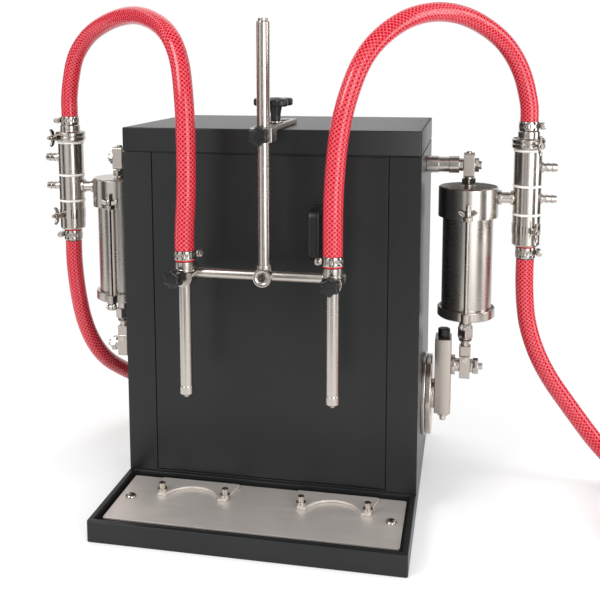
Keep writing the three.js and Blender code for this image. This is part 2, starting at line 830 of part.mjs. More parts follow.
function makeNest(x) {
  const fork = new THREE.Shape([
    new THREE.Vector2(-nestFrontHalfWidth, nestFront),
    new THREE.Vector2(nestFrontHalfWidth, nestFront),
    new THREE.Vector2(nestFrontHalfWidth, nestPinY + nestBossDiameter / 2),
    new THREE.Vector2(nestBackHalfWidth, nestBack),
    new THREE.Vector2(-nestBackHalfWidth, nestBack),
    new THREE.Vector2(-nestFrontHalfWidth, nestPinY + nestBossDiameter / 2),
  ]);
  const plate = extruded(fork, nestThickness, 'z', [x, nozzleY, nestBottom]);
  const round = rod(2 * nestRadius, 0, trayHeight * 2, fineSides, 'z',
    [x, nozzleY, 0]);
  const top = nestBottom + nestThickness;
  const pins = plateSides.map((side) => turned([
    [0, nestBottom + gap],
    [nestBossDiameter / 2, nestBottom + gap],
    [nestBossDiameter / 2, top + nestBossHeight],
    [nestPinDiameter / 2, top + nestBossHeight],
    [nestPinDiameter / 2, top + nestPinHeight],
    [nestPinSocket / 2, top + nestPinHeight],
    [nestPinSocket / 2, top + nestPinHeight - nestPinSocketDepth],
    [0, top + nestPinHeight - nestPinSocketDepth],
  ], smallSides, 'z', [x + side * nestPinX, nozzleY + nestPinY, 0]));
  return join(cut(plate, round), ...pins.map((pin) => cut(pin, round)));
}

addPiece('nest_left', makeNest(nozzleX.left), 'stainless');
addPiece('nest_right', makeNest(nozzleX.right), 'stainless');

// Stand: the slotted rail lies on the cover and carries a block for the post
const railBottom = cabinetHeight + gap;
const railTop = railBottom + railThickness;
const postBottom = barZ + postSeat;
const postTop = railTop + postRise;
const blockMiddleZ = railTop - blockHeight / 2;

function makeStandBar() {
  const block = extruded(roundedOutline(blockWidth, blockDepth, 2 * blockBevel), blockHeight, 'z',
    [standX, postY, railTop - blockHeight], cornerSteps, blockBevel);
  const railLength = railBack - postY;
  const rail = extruded(roundedOutline(railWidth, railLength, 2 * blockBevel), railThickness, 'z',
    [standX, postY + railLength / 2, railBottom], cornerSteps, blockBevel);
  const slotLength = slotBack - slotFront;
  const slotWidth = railStudDiameter + 2 * boreClearance;
  const slot = extruded(roundedOutline(slotWidth, slotLength, slotWidth / 2 - gap / 2),
    railThickness + 2 * overrun, 'z',
    [standX, (slotFront + slotBack) / 2, railBottom - overrun], roundSteps);
  const postHole = rod(postDiameter + 2 * boreClearance, 0, 2 * cabinetHeight, roundSides, 'z',
    [standX, postY, 0]);
  const knobHole = rod(postKnobStud + 2 * boreClearance, -blockDepth, 0, smallSides, 'y',
    [standX, postY, blockMiddleZ]);
  return cut(join(block, rail), slot, postHole, knobHole);
}

// Clamping knob of the rail: a three-lobed head and a stem on a stud, with its washer
function makeRailKnob() {
  const place = [standX, railStudY, 0];
  const washerTop = railTop + gap + railWasherThickness;
  const stemTop = washerTop + railStemHeight;
  const stud = rod(railStudDiameter, railTop - railStudLength, washerTop, smallSides, 'z', place);
  const washer = rod(railWasherDiameter, railTop + gap, washerTop, roundSides, 'z', place);
  const stem = rod(railStemDiameter, washerTop - gap, stemTop + overrun, roundSides, 'z', place);
  const reach = railLobeReach + railLobeRadius;
  const lobes = lobedShape(reach, railLobeCount, reach - railLobeWaist, Math.PI);
  const head = extruded(lobes, railKnobThickness, 'z', [standX, railStudY, stemTop], cornerSteps,
    starBevel);
  return join(stud, washer, stem, head);
}

function makePost() {
  const radius = postDiameter / 2;
  return turned([
    [0, postBottom],
    [radius, postBottom],
    [radius, postTop - postChamfer],
    [radius - postChamfer, postTop],
    [postTipDiameter / 2, postTop],
    [postTipDiameter / 2, postTop + postTipHeight],
    [0, postTop + postTipHeight],
  ], roundSides, 'z', [standX, postY, 0]);
}

// A star knob with its stud: the head stands in front of the place, the stud runs back from it
function starKnob(diameter, thickness, stud, studEnd, place, turn) {
  const head = extruded(lobedShape(diameter / 2, starLobes, starLobeDepth, Math.PI / 2), thickness,
    '-y', [0, 0, 0], cornerSteps, starBevel);
  const hub = rod(diameter * starHubShare, 0, thickness + starHubRise, roundSides, '-y', [0, 0, 0]);
  const shank = rod(stud, 0, studEnd, smallSides, 'y', [0, 0, 0]);
  const geometry = geometryOf(join(head, hub, shank));
  geometry.translate(0, -studEnd - gap, 0);
  geometry.rotateZ(turn);
  geometry.translate(...place);
  return solidOf(geometry);
}

const postKnobShank = blockDepth / 2 + postKnobStandOff - postDiameter / 2 - gap;
const postKnobPlace = [standX, postY - postDiameter / 2, blockMiddleZ];

// Cross bar with the boss that takes the post, and the ringed screw in the boss's front
function makeCrossBar() {
  const bar = rod(barDiameter, nozzleX.left - barOverhang, nozzleX.right + barOverhang, roundSides,
    'x', [0, barY, barZ]);
  const front = postY - bossLength / 2;
  const boss = rod(bossDiameter, front, front + bossLength, roundSides, 'y', [standX, 0, barZ]);
  const collar = rod(bossCollarDiameter, barZ, barZ + bossCollarRise, roundSides, 'z', [standX, postY, 0]);
  const socket = rod(postDiameter + 2 * boreClearance, postBottom - gap, 2 * barZ, roundSides, 'z',
    [standX, postY, 0]);
  const ring = turned([
    [bossScrewDiameter / 2, front - overrun],
    [bossScrewDiameter / 2 + bossRingDepth, front - overrun],
    [bossScrewDiameter / 2 + bossRingDepth, front + bossRingDepth],
    [bossScrewDiameter / 2, front + bossRingDepth],
  ], roundSides, 'y', [standX, 0, barZ]);
  const hex = hexagon(bossScrewDiameter / 2, front - overrun, front + bossScrewDepth, 'y',
    [standX, 0, barZ]);
  return cut(join(boss, bar, collar), socket, ring, hex);
}

addPiece('stand_bar', makeStandBar(), 'stainless');
addPiece('rail_knob', makeRailKnob(), 'black_plastic');
addPiece('stand_post', makePost(), 'stainless');
addPiece('post_knob', starKnob(postKnobDiameter, postKnobThickness, postKnobStud, postKnobShank,
  postKnobPlace, 0), 'black_plastic');
addPiece('cross_bar', makeCrossBar(), 'stainless');

// Nozzle clamp: a short cylinder across the bar, with an upright bore for the nozzle in front of it
const nozzleSeat = nozzleTubeDiameter / 2;
const nozzleClampTop = barZ + nozzleClampRise;
const bandDiameter = hoseDiameter + 2 * bandThickness;
const nozzleKnobShank = nozzleClampFront + nozzleKnobStandOff - nozzleSeat - gap;

function makeNozzleClamp(x, turn) {
  const front = nozzleY - nozzleClampFront;
  const back = barY + nozzleClampBack;
  const body = rod(nozzleClampDiameter, front, back, roundSides, 'y', [x, 0, barZ]);
  const seat = box([x - nozzleClampDiameter, front - overrun, nozzleClampTop],
    [x + nozzleClampDiameter, nozzleY + nozzleCollarDiameter / 2 + gap, barZ + nozzleClampDiameter]);
  const tubeHole = rod(nozzleTubeDiameter + 2 * boreClearance, 0, 2 * barZ, roundSides, 'z',
    [x, nozzleY, 0]);
  const barHole = rod(barDiameter + 2 * boreClearance, -nozzleClampDiameter, nozzleClampDiameter,
    roundSides, 'x', [x, barY, barZ]);
  const knobHole = geometryOf(rod(nozzleKnobStud + 2 * boreClearance, 0, nozzleClampDiameter,
    smallSides, '-y', [0, 0, 0]));
  knobHole.rotateZ(turn);
  knobHole.translate(x, nozzleY, nozzleKnobZ);
  return cut(body, seat, tubeHole, barHole, solidOf(knobHole));
}

// Nozzle: tip, sleeve, tube, collar and neck on one bore, with the band that holds the hose
function makeNozzle(x, turn) {
  const collarBottom = nozzleClampTop + gap;
  const collarTop = collarBottom + nozzleCollarHeight;
  const bandBottom = collarTop + nozzleNeckHeight;
  const bandTop = bandBottom + nozzleBandHeight;
  const sleeveTop = collarBottom - nozzleTubeLength;
  const sleeveBottom = sleeveTop - nozzleSleeveLength;
  const bore = nozzleBore / 2;
  const profile = [
    [bore, sleeveBottom - nozzleTipLength],
    [nozzleTipDiameter / 2, sleeveBottom - nozzleTipLength],
    [nozzleTipDiameter / 2, sleeveBottom],
    [nozzleSleeveDiameter / 2, sleeveBottom],
    [nozzleSleeveDiameter / 2, sleeveTop],
    [nozzleTubeDiameter / 2, sleeveTop],
    [nozzleTubeDiameter / 2, collarBottom],
    [nozzleCollarDiameter / 2, collarBottom],
    [nozzleCollarDiameter / 2, collarTop],
    [nozzleNeckDiameter / 2, collarTop],
    [nozzleNeckDiameter / 2, bandBottom],
    [bandDiameter / 2, bandBottom],
    [bandDiameter / 2, bandTop],
    [bore, bandTop],
  ];
  const tube = turned(profile, roundSides, 'z', [x, nozzleY, 0]);
  const housing = bandHousing(bandDiameter / 2, bandBottom, nozzleBandHeight, [x, nozzleY, 0], turn);
  return join(tube, housing);
}

const nozzleTop = nozzleClampTop + gap + nozzleCollarHeight + nozzleNeckHeight + nozzleBandHeight;
const nozzleKnobZ = barZ;
const knobTurns = { left: leftKnobAngle, right: 0 };
const housingTurns = { left: leftHousingAngle, right: rightHousingAngle };
for (const side of ['left', 'right']) {
  const x = nozzleX[side];
  addPiece(`nozzle_clamp_${side}`, makeNozzleClamp(x, knobTurns[side]), 'stainless');
  addPiece(`nozzle_${side}`, makeNozzle(x, housingTurns[side]), 'stainless');
  const seat = new THREE.Vector3(0, -nozzleSeat, 0).applyAxisAngle(
    new THREE.Vector3(0, 0, 1), knobTurns[side]);
  addPiece(`nozzle_knob_${side}`, starKnob(nozzleKnobDiameter, nozzleKnobThickness, nozzleKnobStud,
    nozzleKnobShank, [x + seat.x, nozzleY + seat.y, nozzleKnobZ], knobTurns[side]), 'black_plastic');
}

// Crank: shaft through both walls, a flanged bearing and a disc on each side
const bearingFace = halfWidth + gap + bearingFlangeThickness;
const discBack = bearingFace + discStandOff;
const discFace = discBack + discThickness;
const hubFace = discFace + discHubLength;
const shaftEnd = discFace - shaftInset;
const shaftBore = shaftDiameter / 2 + boreClearance;

function makeBearing() {
  const barrel = bearingBarrelDiameter / 2;
  const flange = bearingFlangeDiameter / 2;
  return turned([
    [shaftBore, halfWidth - bearingBarrelLength],
    [barrel, halfWidth - bearingBarrelLength],
    [barrel, halfWidth + gap],
    [flange, halfWidth + gap],
    [flange, bearingFace - discRimChamfer],
    [flange - discRimChamfer, bearingFace],
    [shaftBore, bearingFace],
  ], fineSides, 'x', crankPlace);
}

function makeDisc() {
  const radius = discDiameter / 2;
  return turned([
    [shaftBore, discBack],
    [radius, discBack],
    [radius, discFace - discRimChamfer],
    [radius - discRimChamfer, discFace],
    [discHubDiameter / 2, discFace],
    [discHubDiameter / 2, hubFace],
    [0, hubFace],
    [0, shaftEnd + gap],
    [shaftBore, shaftEnd + gap],
  ], fineSides, 'x', crankPlace);
}

addPiece('crank_shaft', rod(shaftDiameter, -shaftEnd, shaftEnd, fineSides, 'x', crankPlace),
  'stainless');
addPair('crank_bearing', makeBearing(), 'stainless');
addPair('crank_disc', makeDisc(), 'stainless');

// Stroke adjuster: a housing across the disc with a T-shaped channel, in which a slider rides on a
// screw with a knob at its top
const adjusterBack = hubFace + gap;
const adjusterFace = adjusterBack + adjusterWidth;
const channelBack = adjusterBack + adjusterBackWall;
const lipBack = adjusterFace - adjusterLip;
const channelMiddleX = (channelBack + lipBack) / 2;
const adjusterTopZ = crankZ + adjusterTop;
const adjusterBottomZ = crankZ - adjusterBottom;
const pinZ = crankZ + crankRadius;

function makeAdjuster() {
  const bar = extruded(roundedOutline(adjusterWidth, adjusterDepth, 2 * adjusterBevel),
    adjusterTopZ - adjusterBottomZ, 'z',
    [(adjusterBack + adjusterFace) / 2, crankY, adjusterBottomZ], cornerSteps, adjusterBevel);
  const low = adjusterBottomZ + adjusterEndWall;
  const high = adjusterTopZ - adjusterEndWall;
  const channel = box([channelBack, crankY - adjusterChannel / 2, low],
    [lipBack, crankY + adjusterChannel / 2, high]);
  const slot = box([channelBack, crankY - adjusterSlot / 2, low],
    [adjusterFace + overrun, crankY + adjusterSlot / 2, high]);
  const screwHole = rod(screwDiameter + 2 * boreClearance, adjusterBottomZ - overrun,
    adjusterTopZ + overrun, smallSides, 'z', [channelMiddleX, crankY, 0]);
  return cut(bar, channel, slot, screwHole);
}

function makeSlider() {
  const low = pinZ - sliderHeight / 2;
  const high = pinZ + sliderHeight / 2;
  const foot = box([channelBack + gap, crankY - adjusterChannel / 2 + gap, low],
    [lipBack - gap, crankY + adjusterChannel / 2 - gap, high]);
  const neck = box([channelMiddleX, crankY - adjusterSlot / 2 + gap, low],
    [adjusterFace, crankY + adjusterSlot / 2 - gap, high]);
  const thread = rod(screwDiameter + 2 * boreClearance, low - overrun, high + overrun, smallSides,
    'z', [channelMiddleX, crankY, 0]);
  return cut(join(foot, neck), thread);
}

function makeAdjusterScrew() {
  const place = [channelMiddleX, crankY, 0];
  const nutTop = adjusterBottomZ - gap;
  const nutBottom = nutTop - adjusterNutHeight;
  const screw = rod(screwDiameter, nutBottom - adjusterTailLength, adjusterTopZ + overrun,
    smallSides, 'z', place);
  const nut = hexagon(adjusterNutWidth, nutBottom, nutTop, 'z', place);
  const knobShape = lobedShape(adjusterKnobDiameter / 2, adjusterKnobFlutes, adjusterKnobFluteDepth,
    0);
  const knob = extruded(knobShape, adjusterKnobHeight, 'z',
    [channelMiddleX, crankY, adjusterTopZ + gap], cornerSteps, adjusterKnobFluteDepth);
  return join(screw, nut, knob);
}

addPair('stroke_adjuster', makeAdjuster(), 'stainless');
addPair('crank_slider', makeSlider(), 'stainless');
addPair('adjuster_screw', makeAdjusterScrew(), 'stainless');

// Gear motor: a hollow-shaft gearbox on a foot, with the motor upright on top
function makeGearMotor() {
  const top = crankZ + gearboxHeight / 2;
  const floor = sheet + gap;
  const gearbox = extruded(roundedOutline(gearboxHeight, gearboxDepth, gearboxCornerRadius),
    gearboxLength, 'x', [-gearboxLength / 2, crankY, crankZ]);
  const pedestal = box([-gearboxLength / 4, crankY - gearboxDepth / 2 + gearboxCornerRadius, floor],
    [gearboxLength / 4, crankY + gearboxDepth / 2 - gearboxCornerRadius, crankZ]);
  const foot = extruded(roundedOutline(gearboxFootLength, gearboxDepth, gearboxFootHeight),
    gearboxFootHeight, 'z', [0, crankY, floor]);
  const flange = rod(motorFlangeDiameter, top - overrun, top + motorFlangeThickness, roundSides, 'z',
    [0, crankY, 0]);
  const motor = turned([
    [0, top],
    [motorDiameter / 2, top],
    [motorDiameter / 2, top + motorHeight],
    [motorDiameter / 4, top + motorHeight + motorFlangeThickness],
    [0, top + motorHeight + motorFlangeThickness],
  ], roundSides, 'z', [0, crankY, 0]);
  const bore = rod(2 * shaftBore, -gearboxLength, gearboxLength, fineSides, 'x', crankPlace);
  return cut(join(gearbox, pedestal, foot, flange, motor), bore);
}

addPiece('gear_motor', makeGearMotor(), 'grey_casting');

// Pumps. The pivot shaft carries the yoke at the top of each pump, so that the pump can swing.
const pumpOffset = halfWidth + pumpStandOff;
const yokeInner = pumpOffset - yokeWidth / 2;
const yokeOuter = pumpOffset + yokeWidth / 2;
const pumpPlace = [pumpOffset, crankY, 0];
const capDiameter = barrelDiameter + 2 * capWall;
const baseDiameter = barrelDiameter + 2 * baseWall;
const capTop = pivotZ - capDrop;
const capBottom = capTop - capHeight;
const clevisBottom = pinZ + clevisRise;
const clevisTop = clevisBottom + clevisHeight;
const baseBottom = clevisTop + glandClearance + glandRingHeight + glandHexHeight + glandLength;
const tieRodTop = capBottom + tieRodRise;
const tieRodReach = capDiameter / 2 + wingHubDiameter / 2 + tieRodClearance;
const tieLugOuter = tieRodReach + tieLugMargin;
const portZ = capTop - portDrop;
const barrelRadius = barrelDiameter / 2;
const barrelBore = barrelRadius - barrelWall;
const capRoof = capTop - capCrown;
const barrelTop = capBottom + barrelSeat;
const baseTop = baseBottom + baseHeight;
const baseInside = baseBottom + baseFloor;
const tieEnds = [-1, 1];

function makePivotShaft() {
  const neckStart = yokeInner - gap - pivotNeckLength;
  const wall = halfWidth + gap;
  const tail = rod(pivotTailDiameter, halfWidth - pivotTailLength, wall + overrun, smallSides, 'x',
    pivotPlace);
  const stepStart = wall + pivotStepPlace;
  const body = turned([
    [0, wall],
    [pivotRootDiameter / 2, wall],
    [pivotRootDiameter / 2, stepStart],
    [pivotStepDiameter / 2, stepStart],
    [pivotStepDiameter / 2, stepStart + pivotStepLength],
    [pivotRootDiameter / 2, stepStart + pivotStepLength],
    [pivotRootDiameter / 2, neckStart],
    [pivotNeckDiameter / 2, neckStart],
    [pivotNeckDiameter / 2, yokeInner - gap],
    [pivotPinDiameter / 2, yokeInner - gap],
    [pivotPinDiameter / 2, yokeOuter + pivotEndNutLength],
    [0, yokeOuter + pivotEndNutLength],
  ], roundSides, 'x', pivotPlace);
  const endNut = hexagon(pivotEndNutWidth * nutWidthShare, yokeOuter + gap,
    yokeOuter + gap + pivotEndNutLength * nutLengthShare, 'x', pivotPlace);
  const wallNut = hexagon(pivotNutWidth, halfWidth - sheet - gap - pivotNutThickness,
    halfWidth - sheet - gap, 'x', pivotPlace);
  return join(body, tail, endNut, wallNut);
}

// A lug beside a round piece, drilled where the tie rod passes
function tieLug(end, bottom, height, inner) {
  const [near, far] = [end * inner, end * tieLugOuter].map((y) => crankY + y);
  return box([pumpOffset - tieLugWidth / 2, Math.min(near, far), bottom],
    [pumpOffset + tieLugWidth / 2, Math.max(near, far), bottom + height]);
}

function makePumpHead() {
  const cap = turned([
    [0, capRoof],
    [barrelBore, capRoof],
    [barrelBore, barrelTop + gap],
    [barrelRadius + gap, barrelTop + gap],
    [barrelRadius + gap, capBottom],
    [capDiameter / 2, capBottom],
    [capDiameter / 2, capTop - capChamfer],
    [capDiameter / 2 - capChamfer, capTop],
    [0, capTop],
  ], fineSides, 'z', pumpPlace);
  const lugs = tieEnds.map((end) => tieLug(end, capBottom, tieLugHeight, capDiameter / 2 - capChamfer));
  const holes = tieEnds.map((end) => rod(tieRodDiameter + 2 * boreClearance, 0, tieRodTop, tinySides,
    'z', [pumpOffset, crankY + end * tieRodReach, 0]));
  const stem = rod(stemDiameter, capTop - overrun, pivotZ, smallSides, 'z', pumpPlace);
  const hexBottom = capTop + stemHexDrop;
  const hex = hexagon(stemHexWidth, hexBottom, hexBottom + stemHexHeight, 'z', pumpPlace);
  const yoke = extruded(roundedOutline(yokeHeight, yokeDepth, yokeEdgeRadius), yokeWidth, 'x',
    [yokeInner, crankY, pivotZ]);
  const grub = rod(yokeWidth / 2, pivotZ, pivotZ + yokeHeight / 2 + yokeEdgeRadius, tinySides, 'z',
    pumpPlace);
  const pinHole = rod(pivotPinDiameter + 2 * boreClearance, yokeInner - overrun, yokeOuter + overrun,
    roundSides, 'x', pivotPlace);
  const portHole = rod(portDiameter + 2 * boreClearance, pumpOffset, pumpOffset + capDiameter,
    smallSides, 'x', [0, crankY, portZ]);
  const solidHead = join(cut(join(cap, ...lugs), ...holes, portHole), stem, hex, yoke, grub);
  return cut(solidHead, pinHole);
}

function makeBarrel() {
  return turned([
    [barrelBore, baseInside + gap],
    [barrelRadius, baseInside + gap],
    [barrelRadius, barrelTop],
    [barrelBore, barrelTop],
  ], fineSides, 'z', pumpPlace);
}

// Base: the flange with the gland below it, and the tie rods with their wing nuts
function makePumpBase() {
  const rodBore = rodDiameter / 2 + boreClearance;
  const glandBottom = baseBottom - glandLength;
  const flange = turned([
    [rodBore, glandBottom],
    [glandDiameter / 2, glandBottom],
    [glandDiameter / 2, baseBottom],
    [baseDiameter / 2 - capChamfer, baseBottom],
    [baseDiameter / 2, baseBottom + capChamfer],
    [baseDiameter / 2, baseTop],
    [barrelRadius + gap, baseTop],
    [barrelRadius + gap, baseInside],
    [rodBore, baseInside],
  ], fineSides, 'z', pumpPlace);
  const hexBottom = glandBottom - glandHexHeight;
  const bore = rod(2 * rodBore, hexBottom - 2 * glandRingHeight, baseTop, fineSides, 'z', pumpPlace);
  const hex = hexagon(glandHexWidth, hexBottom, glandBottom + overrun, 'z', pumpPlace);
  const ring = rod(glandRingDiameter, hexBottom - glandRingHeight, hexBottom + overrun, roundSides,
    'z', pumpPlace);
  const ties = tieEnds.map((end) => {
    const place = [pumpOffset, crankY + end * tieRodReach, 0];
    const lug = tieLug(end, baseBottom + capChamfer, baseHeight - capChamfer,
      baseDiameter / 2 - capChamfer);
    const stay = rod(tieRodDiameter, baseBottom + capChamfer, tieRodTop, tinySides, 'z', place);
    return join(lug, stay, wingNut(capBottom + tieLugHeight + gap, place, 0));
  });
  return join(cut(join(flange, hex, ring), bore), ...ties);
}

function makePiston() {
  const top = capRoof - pistonTopClearance;
  const bottom = top - pistonHeight;
  const radius = barrelBore - pistonRunning;
  const ringZ = (top + bottom) / 2;
  return turned([
    [0, clevisTop - clevisSocketDepth + gap],
    [rodDiameter / 2, clevisTop - clevisSocketDepth + gap],
    [rodDiameter / 2, bottom],
    [radius, bottom],
    [radius, ringZ - ringGroove],
    [radius - ringGroove, ringZ - ringGroove],
    [radius - ringGroove, ringZ + ringGroove],
    [radius, ringZ + ringGroove],
    [radius, top],
    [0, top],
  ], fineSides, 'z', pumpPlace);
}

// Rod end: the clevis on the piston rod, its block and the crank pin with its washers and nut
function makeRodEnd() {
  const pinPlace = [0, crankY, pinZ];
  const blockInner = pumpOffset - rodEndWidth / 2;
  const blockOuter = pumpOffset + rodEndWidth / 2;
  const clevis = extruded(roundedOutline(clevisWidth, clevisWidth, rodEndEdgeRadius),
    clevisTop - clevisBottom + overrun, 'z', [pumpOffset, crankY, clevisBottom - overrun]);
  const socket = rod(rodDiameter + 2 * boreClearance, clevisTop - clevisSocketDepth,
    clevisTop + overrun, fineSides, 'z', pumpPlace);
  const blockHeightZ = clevisBottom - pinZ + rodEndDrop;
  const block = extruded(roundedOutline(blockHeightZ, rodEndDepth, rodEndEdgeRadius), rodEndWidth,
    'x', [blockInner, crankY, pinZ - rodEndDrop + blockHeightZ / 2]);
  const pinStart = adjusterFace + gap;
  const nutStart = blockOuter + pinOuterWasher;
  const nutEnd = nutStart + pinNutThickness;
  const pin = turned([
    [0, pinStart],
    [pinWasherDiameter / 2, pinStart],
    [pinWasherDiameter / 2, pinStart + pinWasherThickness],
    [pinSpacerDiameter / 2, pinStart + pinWasherThickness],
    [pinSpacerDiameter / 2, nutStart],
    [pinTipDiameter / 2, nutStart],
    [pinTipDiameter / 2, nutEnd + pinTipLength],
    [0, nutEnd + pinTipLength],
  ], roundSides, 'x', pinPlace);
  const nut = hexagon(pinNutWidth, nutStart - overrun, nutEnd, 'x', pinPlace);
  return join(cut(clevis, socket), block, pin, nut);
}

addPair('pivot_shaft', makePivotShaft(), 'stainless');
addPair('pump_head', makePumpHead(), 'stainless');
addPair('pump_barrel', makeBarrel(), 'stainless');
addPair('pump_base', makePumpBase(), 'stainless');
addPair('piston', makePiston(), 'stainless');
addPair('rod_end', makeRodEnd(), 'stainless');

// Valves: an upright body beside each pump, fed through the side port
const valveRadius = valveDiameter / 2;
const valveOffset = pumpOffset + capDiameter / 2 + portLength + valveRadius;
const valvePlace = [valveOffset, crankY, 0];
const valveTop = portZ + valveHeadRise;
const valveBottom = portZ - valveFootDrop;
const nippleBottom = valveBottom - spigotHeight - bandHeight - bandRise;

// A small barbed connection that stands out of the valve's side
function barb(diameter, z) {
  const radius = diameter / 2;
  const neck = radius * barbNeckShare;
  const start = valveRadius - overrun;
  const pitch = (barbReach - valveRadius) / (barbRidges + 1);
  const outline = [[0, start], [neck, start]];
  for (let i = 1; i <= barbRidges; i++) {
    const ridge = valveRadius + i * pitch;
    outline.push([neck, ridge], [radius, ridge], [neck, ridge + pitch]);
  }
  outline.push([0, barbReach]);
  return turned(outline, tinySides, 'x', [valveOffset, crankY, z]);
}

// The lug of a ring clip, pointing forwards and outwards, with its wing nut
function clipLug(radius, z, turn) {
  const lug = extruded(roundedOutline(clipLugWidth, clipLugWidth, clipLugWidth / 4),
    clipLugLength, '-y', [0, -radius + overrun, 0]);
  const nut = geometryOf(wingNut(radius + clipLugLength - 2 * overrun, [0, 0, 0], Math.PI / 2));
  nut.rotateX(Math.PI / 2);
  const geometry = geometryOf(join(lug, solidOf(nut)));
  geometry.rotateZ(turn);
  geometry.translate(valveOffset, crankY, z);
  return solidOf(geometry);
}

function makeValveBody() {
  const bore = valveBore / 2;
  const flow = flowBore / 2;
  const proud = valveRadius + valveRingProud;
  const bandBottom = nippleBottom + bandRise;
  const bandTop = bandBottom + bandHeight;
  const rings = [portZ - lowerRingDrop, portZ + upperRingRise].flatMap((z) => [
    [valveRadius, z], [proud, z], [proud, z + valveRingHeight], [valveRadius, z + valveRingHeight]]);
  const body = turned([
    [flow, nippleBottom],
    [spigotDiameter / 3, nippleBottom],
    [spigotDiameter / 3, bandBottom],
    [bandDiameter / 2, bandBottom],
    [bandDiameter / 2, bandTop],
    [spigotDiameter / 3, bandTop],
    [spigotDiameter / 3, valveBottom - valveFootChamfer],
    [valveRadius - valveFootChamfer, valveBottom - valveFootChamfer],
    [valveRadius, valveBottom],
    ...rings,
    [valveRadius, valveTop],
    [bore, valveTop],
    [bore, valveTop - outletSpigotDepth - gap],
    [flow, valveTop - outletSpigotDepth - gap],
  ], roundSides, 'z', valvePlace);
  const portStart = pumpOffset + capDiameter / 2 - portInset;
  const port = rod(portDiameter, portStart, valveOffset - valveRadius + overrun, smallSides, 'x',
    [0, crankY, portZ]);
  const flanges = [pumpOffset + capDiameter / 2 + gap,
    valveOffset - valveRadius - portFlangeThickness + overrun / 2].map((x) => rod(
    portFlangeDiameter, x, x + portFlangeThickness, roundSides, 'x', [0, crankY, portZ]));
  const housing = bandHousing(bandDiameter / 2, bandBottom, bandHeight, valvePlace, 0);
  return join(body, port, ...flanges, barb(upperBarbDiameter, portZ + upperBarbRise),
    barb(lowerBarbDiameter, portZ), clipLug(valveRadius, valveTop - clipWingDrop - clipHeight,
      clipWingAngle), housing);
}

function makeValveOutlet() {
  const clipBottom = valveTop + gap;
  const clipTop = clipBottom + clipHeight;
  const neckTopZ = clipTop + outletNeckHeight;
  const bandTop = neckTopZ + outletBandHeight;
  const flow = flowBore / 2;
  const body = turned([
    [flow, valveTop - outletSpigotDepth],
    [valveBore / 2 - boreClearance, valveTop - outletSpigotDepth],
    [valveBore / 2 - boreClearance, clipBottom],
    [clipDiameter / 2, clipBottom],
    [clipDiameter / 2, clipTop],
    [outletNeckDiameter / 2, clipTop],
    [outletNeckDiameter / 2, neckTopZ - valveFootChamfer],
    [bandDiameter / 2 - valveFootChamfer, neckTopZ],
    [bandDiameter / 2, neckTopZ],
    [bandDiameter / 2, bandTop],
    [flow, bandTop],
  ], roundSides, 'z', valvePlace);
  const housing = bandHousing(bandDiameter / 2, neckTopZ, outletBandHeight, valvePlace, 0);
  return join(body, clipLug(clipDiameter / 2, clipBottom + clipHeight / 2, clipWingAngle), housing);
}

addPair('valve_body', makeValveBody(), 'stainless');
addPair('valve_outlet', makeValveOutlet(), 'stainless');

// Hoses: each route is a list of points along the middle of the hose. An outlet hose rises from its
// valve, its points measured from the valve's band, and falls to its nozzle's band.
const outletStart = valveTop + gap + clipHeight + outletNeckHeight + outletBandHeight + gap;
const nozzleEnd = nozzleTop + gap;
const outletRises = {
  right: [[0, 0, 0], [0, 0, 8.7], [-0.5, 0, 17.7], [-2.7, -1, 29.7], [-8.7, -4, 51.7],
    [-19.7, -10, 74.7], [-36.7, -21, 95.7], [-69.7, -47, 116.7]],
  left: [[0, 0, 0], [0, 0, 8.7], [0.2, 0, 22.7], [4.7, -2, 48.7], [13.7, -6, 75.7],
    [34.7, -16, 99.7], [68.7, -35, 116.7]],
};
const outletFalls = {
  right: [[101.8, 96.6, 253], [69.8, 63.6, 245], [42.8, 36.6, 224], [26.8, 21.6, 201],
    [13.8, 8.6, 165], [5.8, 2.6, 127], [0.8, 0, 68], [0, 0, 15], [0, 0, 0]],
  left: [[-94.2, 103.6, 254], [-53.2, 66.6, 245], [-23.2, 34.6, 226], [-9.2, 20.6, 201],
    [-0.2, 6.6, 161], [2.8, 1.6, 124], [2.8, 0, 64], [0, 0, 13], [0, 0, 0]],
};
const floorZ = hoseDiameter / 2 + floorLift;
const suctionStart = nippleBottom - gap;
const rightSuctionRoute = [
  [valveOffset, crankY, suctionStart], [286.7, 113, 250], [288, 113, 225], [291, 113, 201],
  [297, 113, 178], [307, 113, 153], [321, 113, 128], [338, 113, 104], [355, 113, 81],
  [372, 113, 59], [389, 113, 40.4], [404, 113, 27.8], [421, 113, 18.2], [438, 113, 12.6],
];
const leftSuctionRoute = [
  [-valveOffset, crankY, suctionStart], [-286.7, 113, 250], [-285, 113, 225], [-282, 113, 200],
  [-277, 114, 172], [-270, 118, 146], [-262, 126, 124], [-254, 139, 106], [-246, 158, 90],
  [-236, 181, 73], [-224, 207, 54], [-210, 233, 36], [-194, 264, 19.5],
];

const curveThrough = (points) => new THREE.CatmullRomCurve3(points, false, 'centripetal');

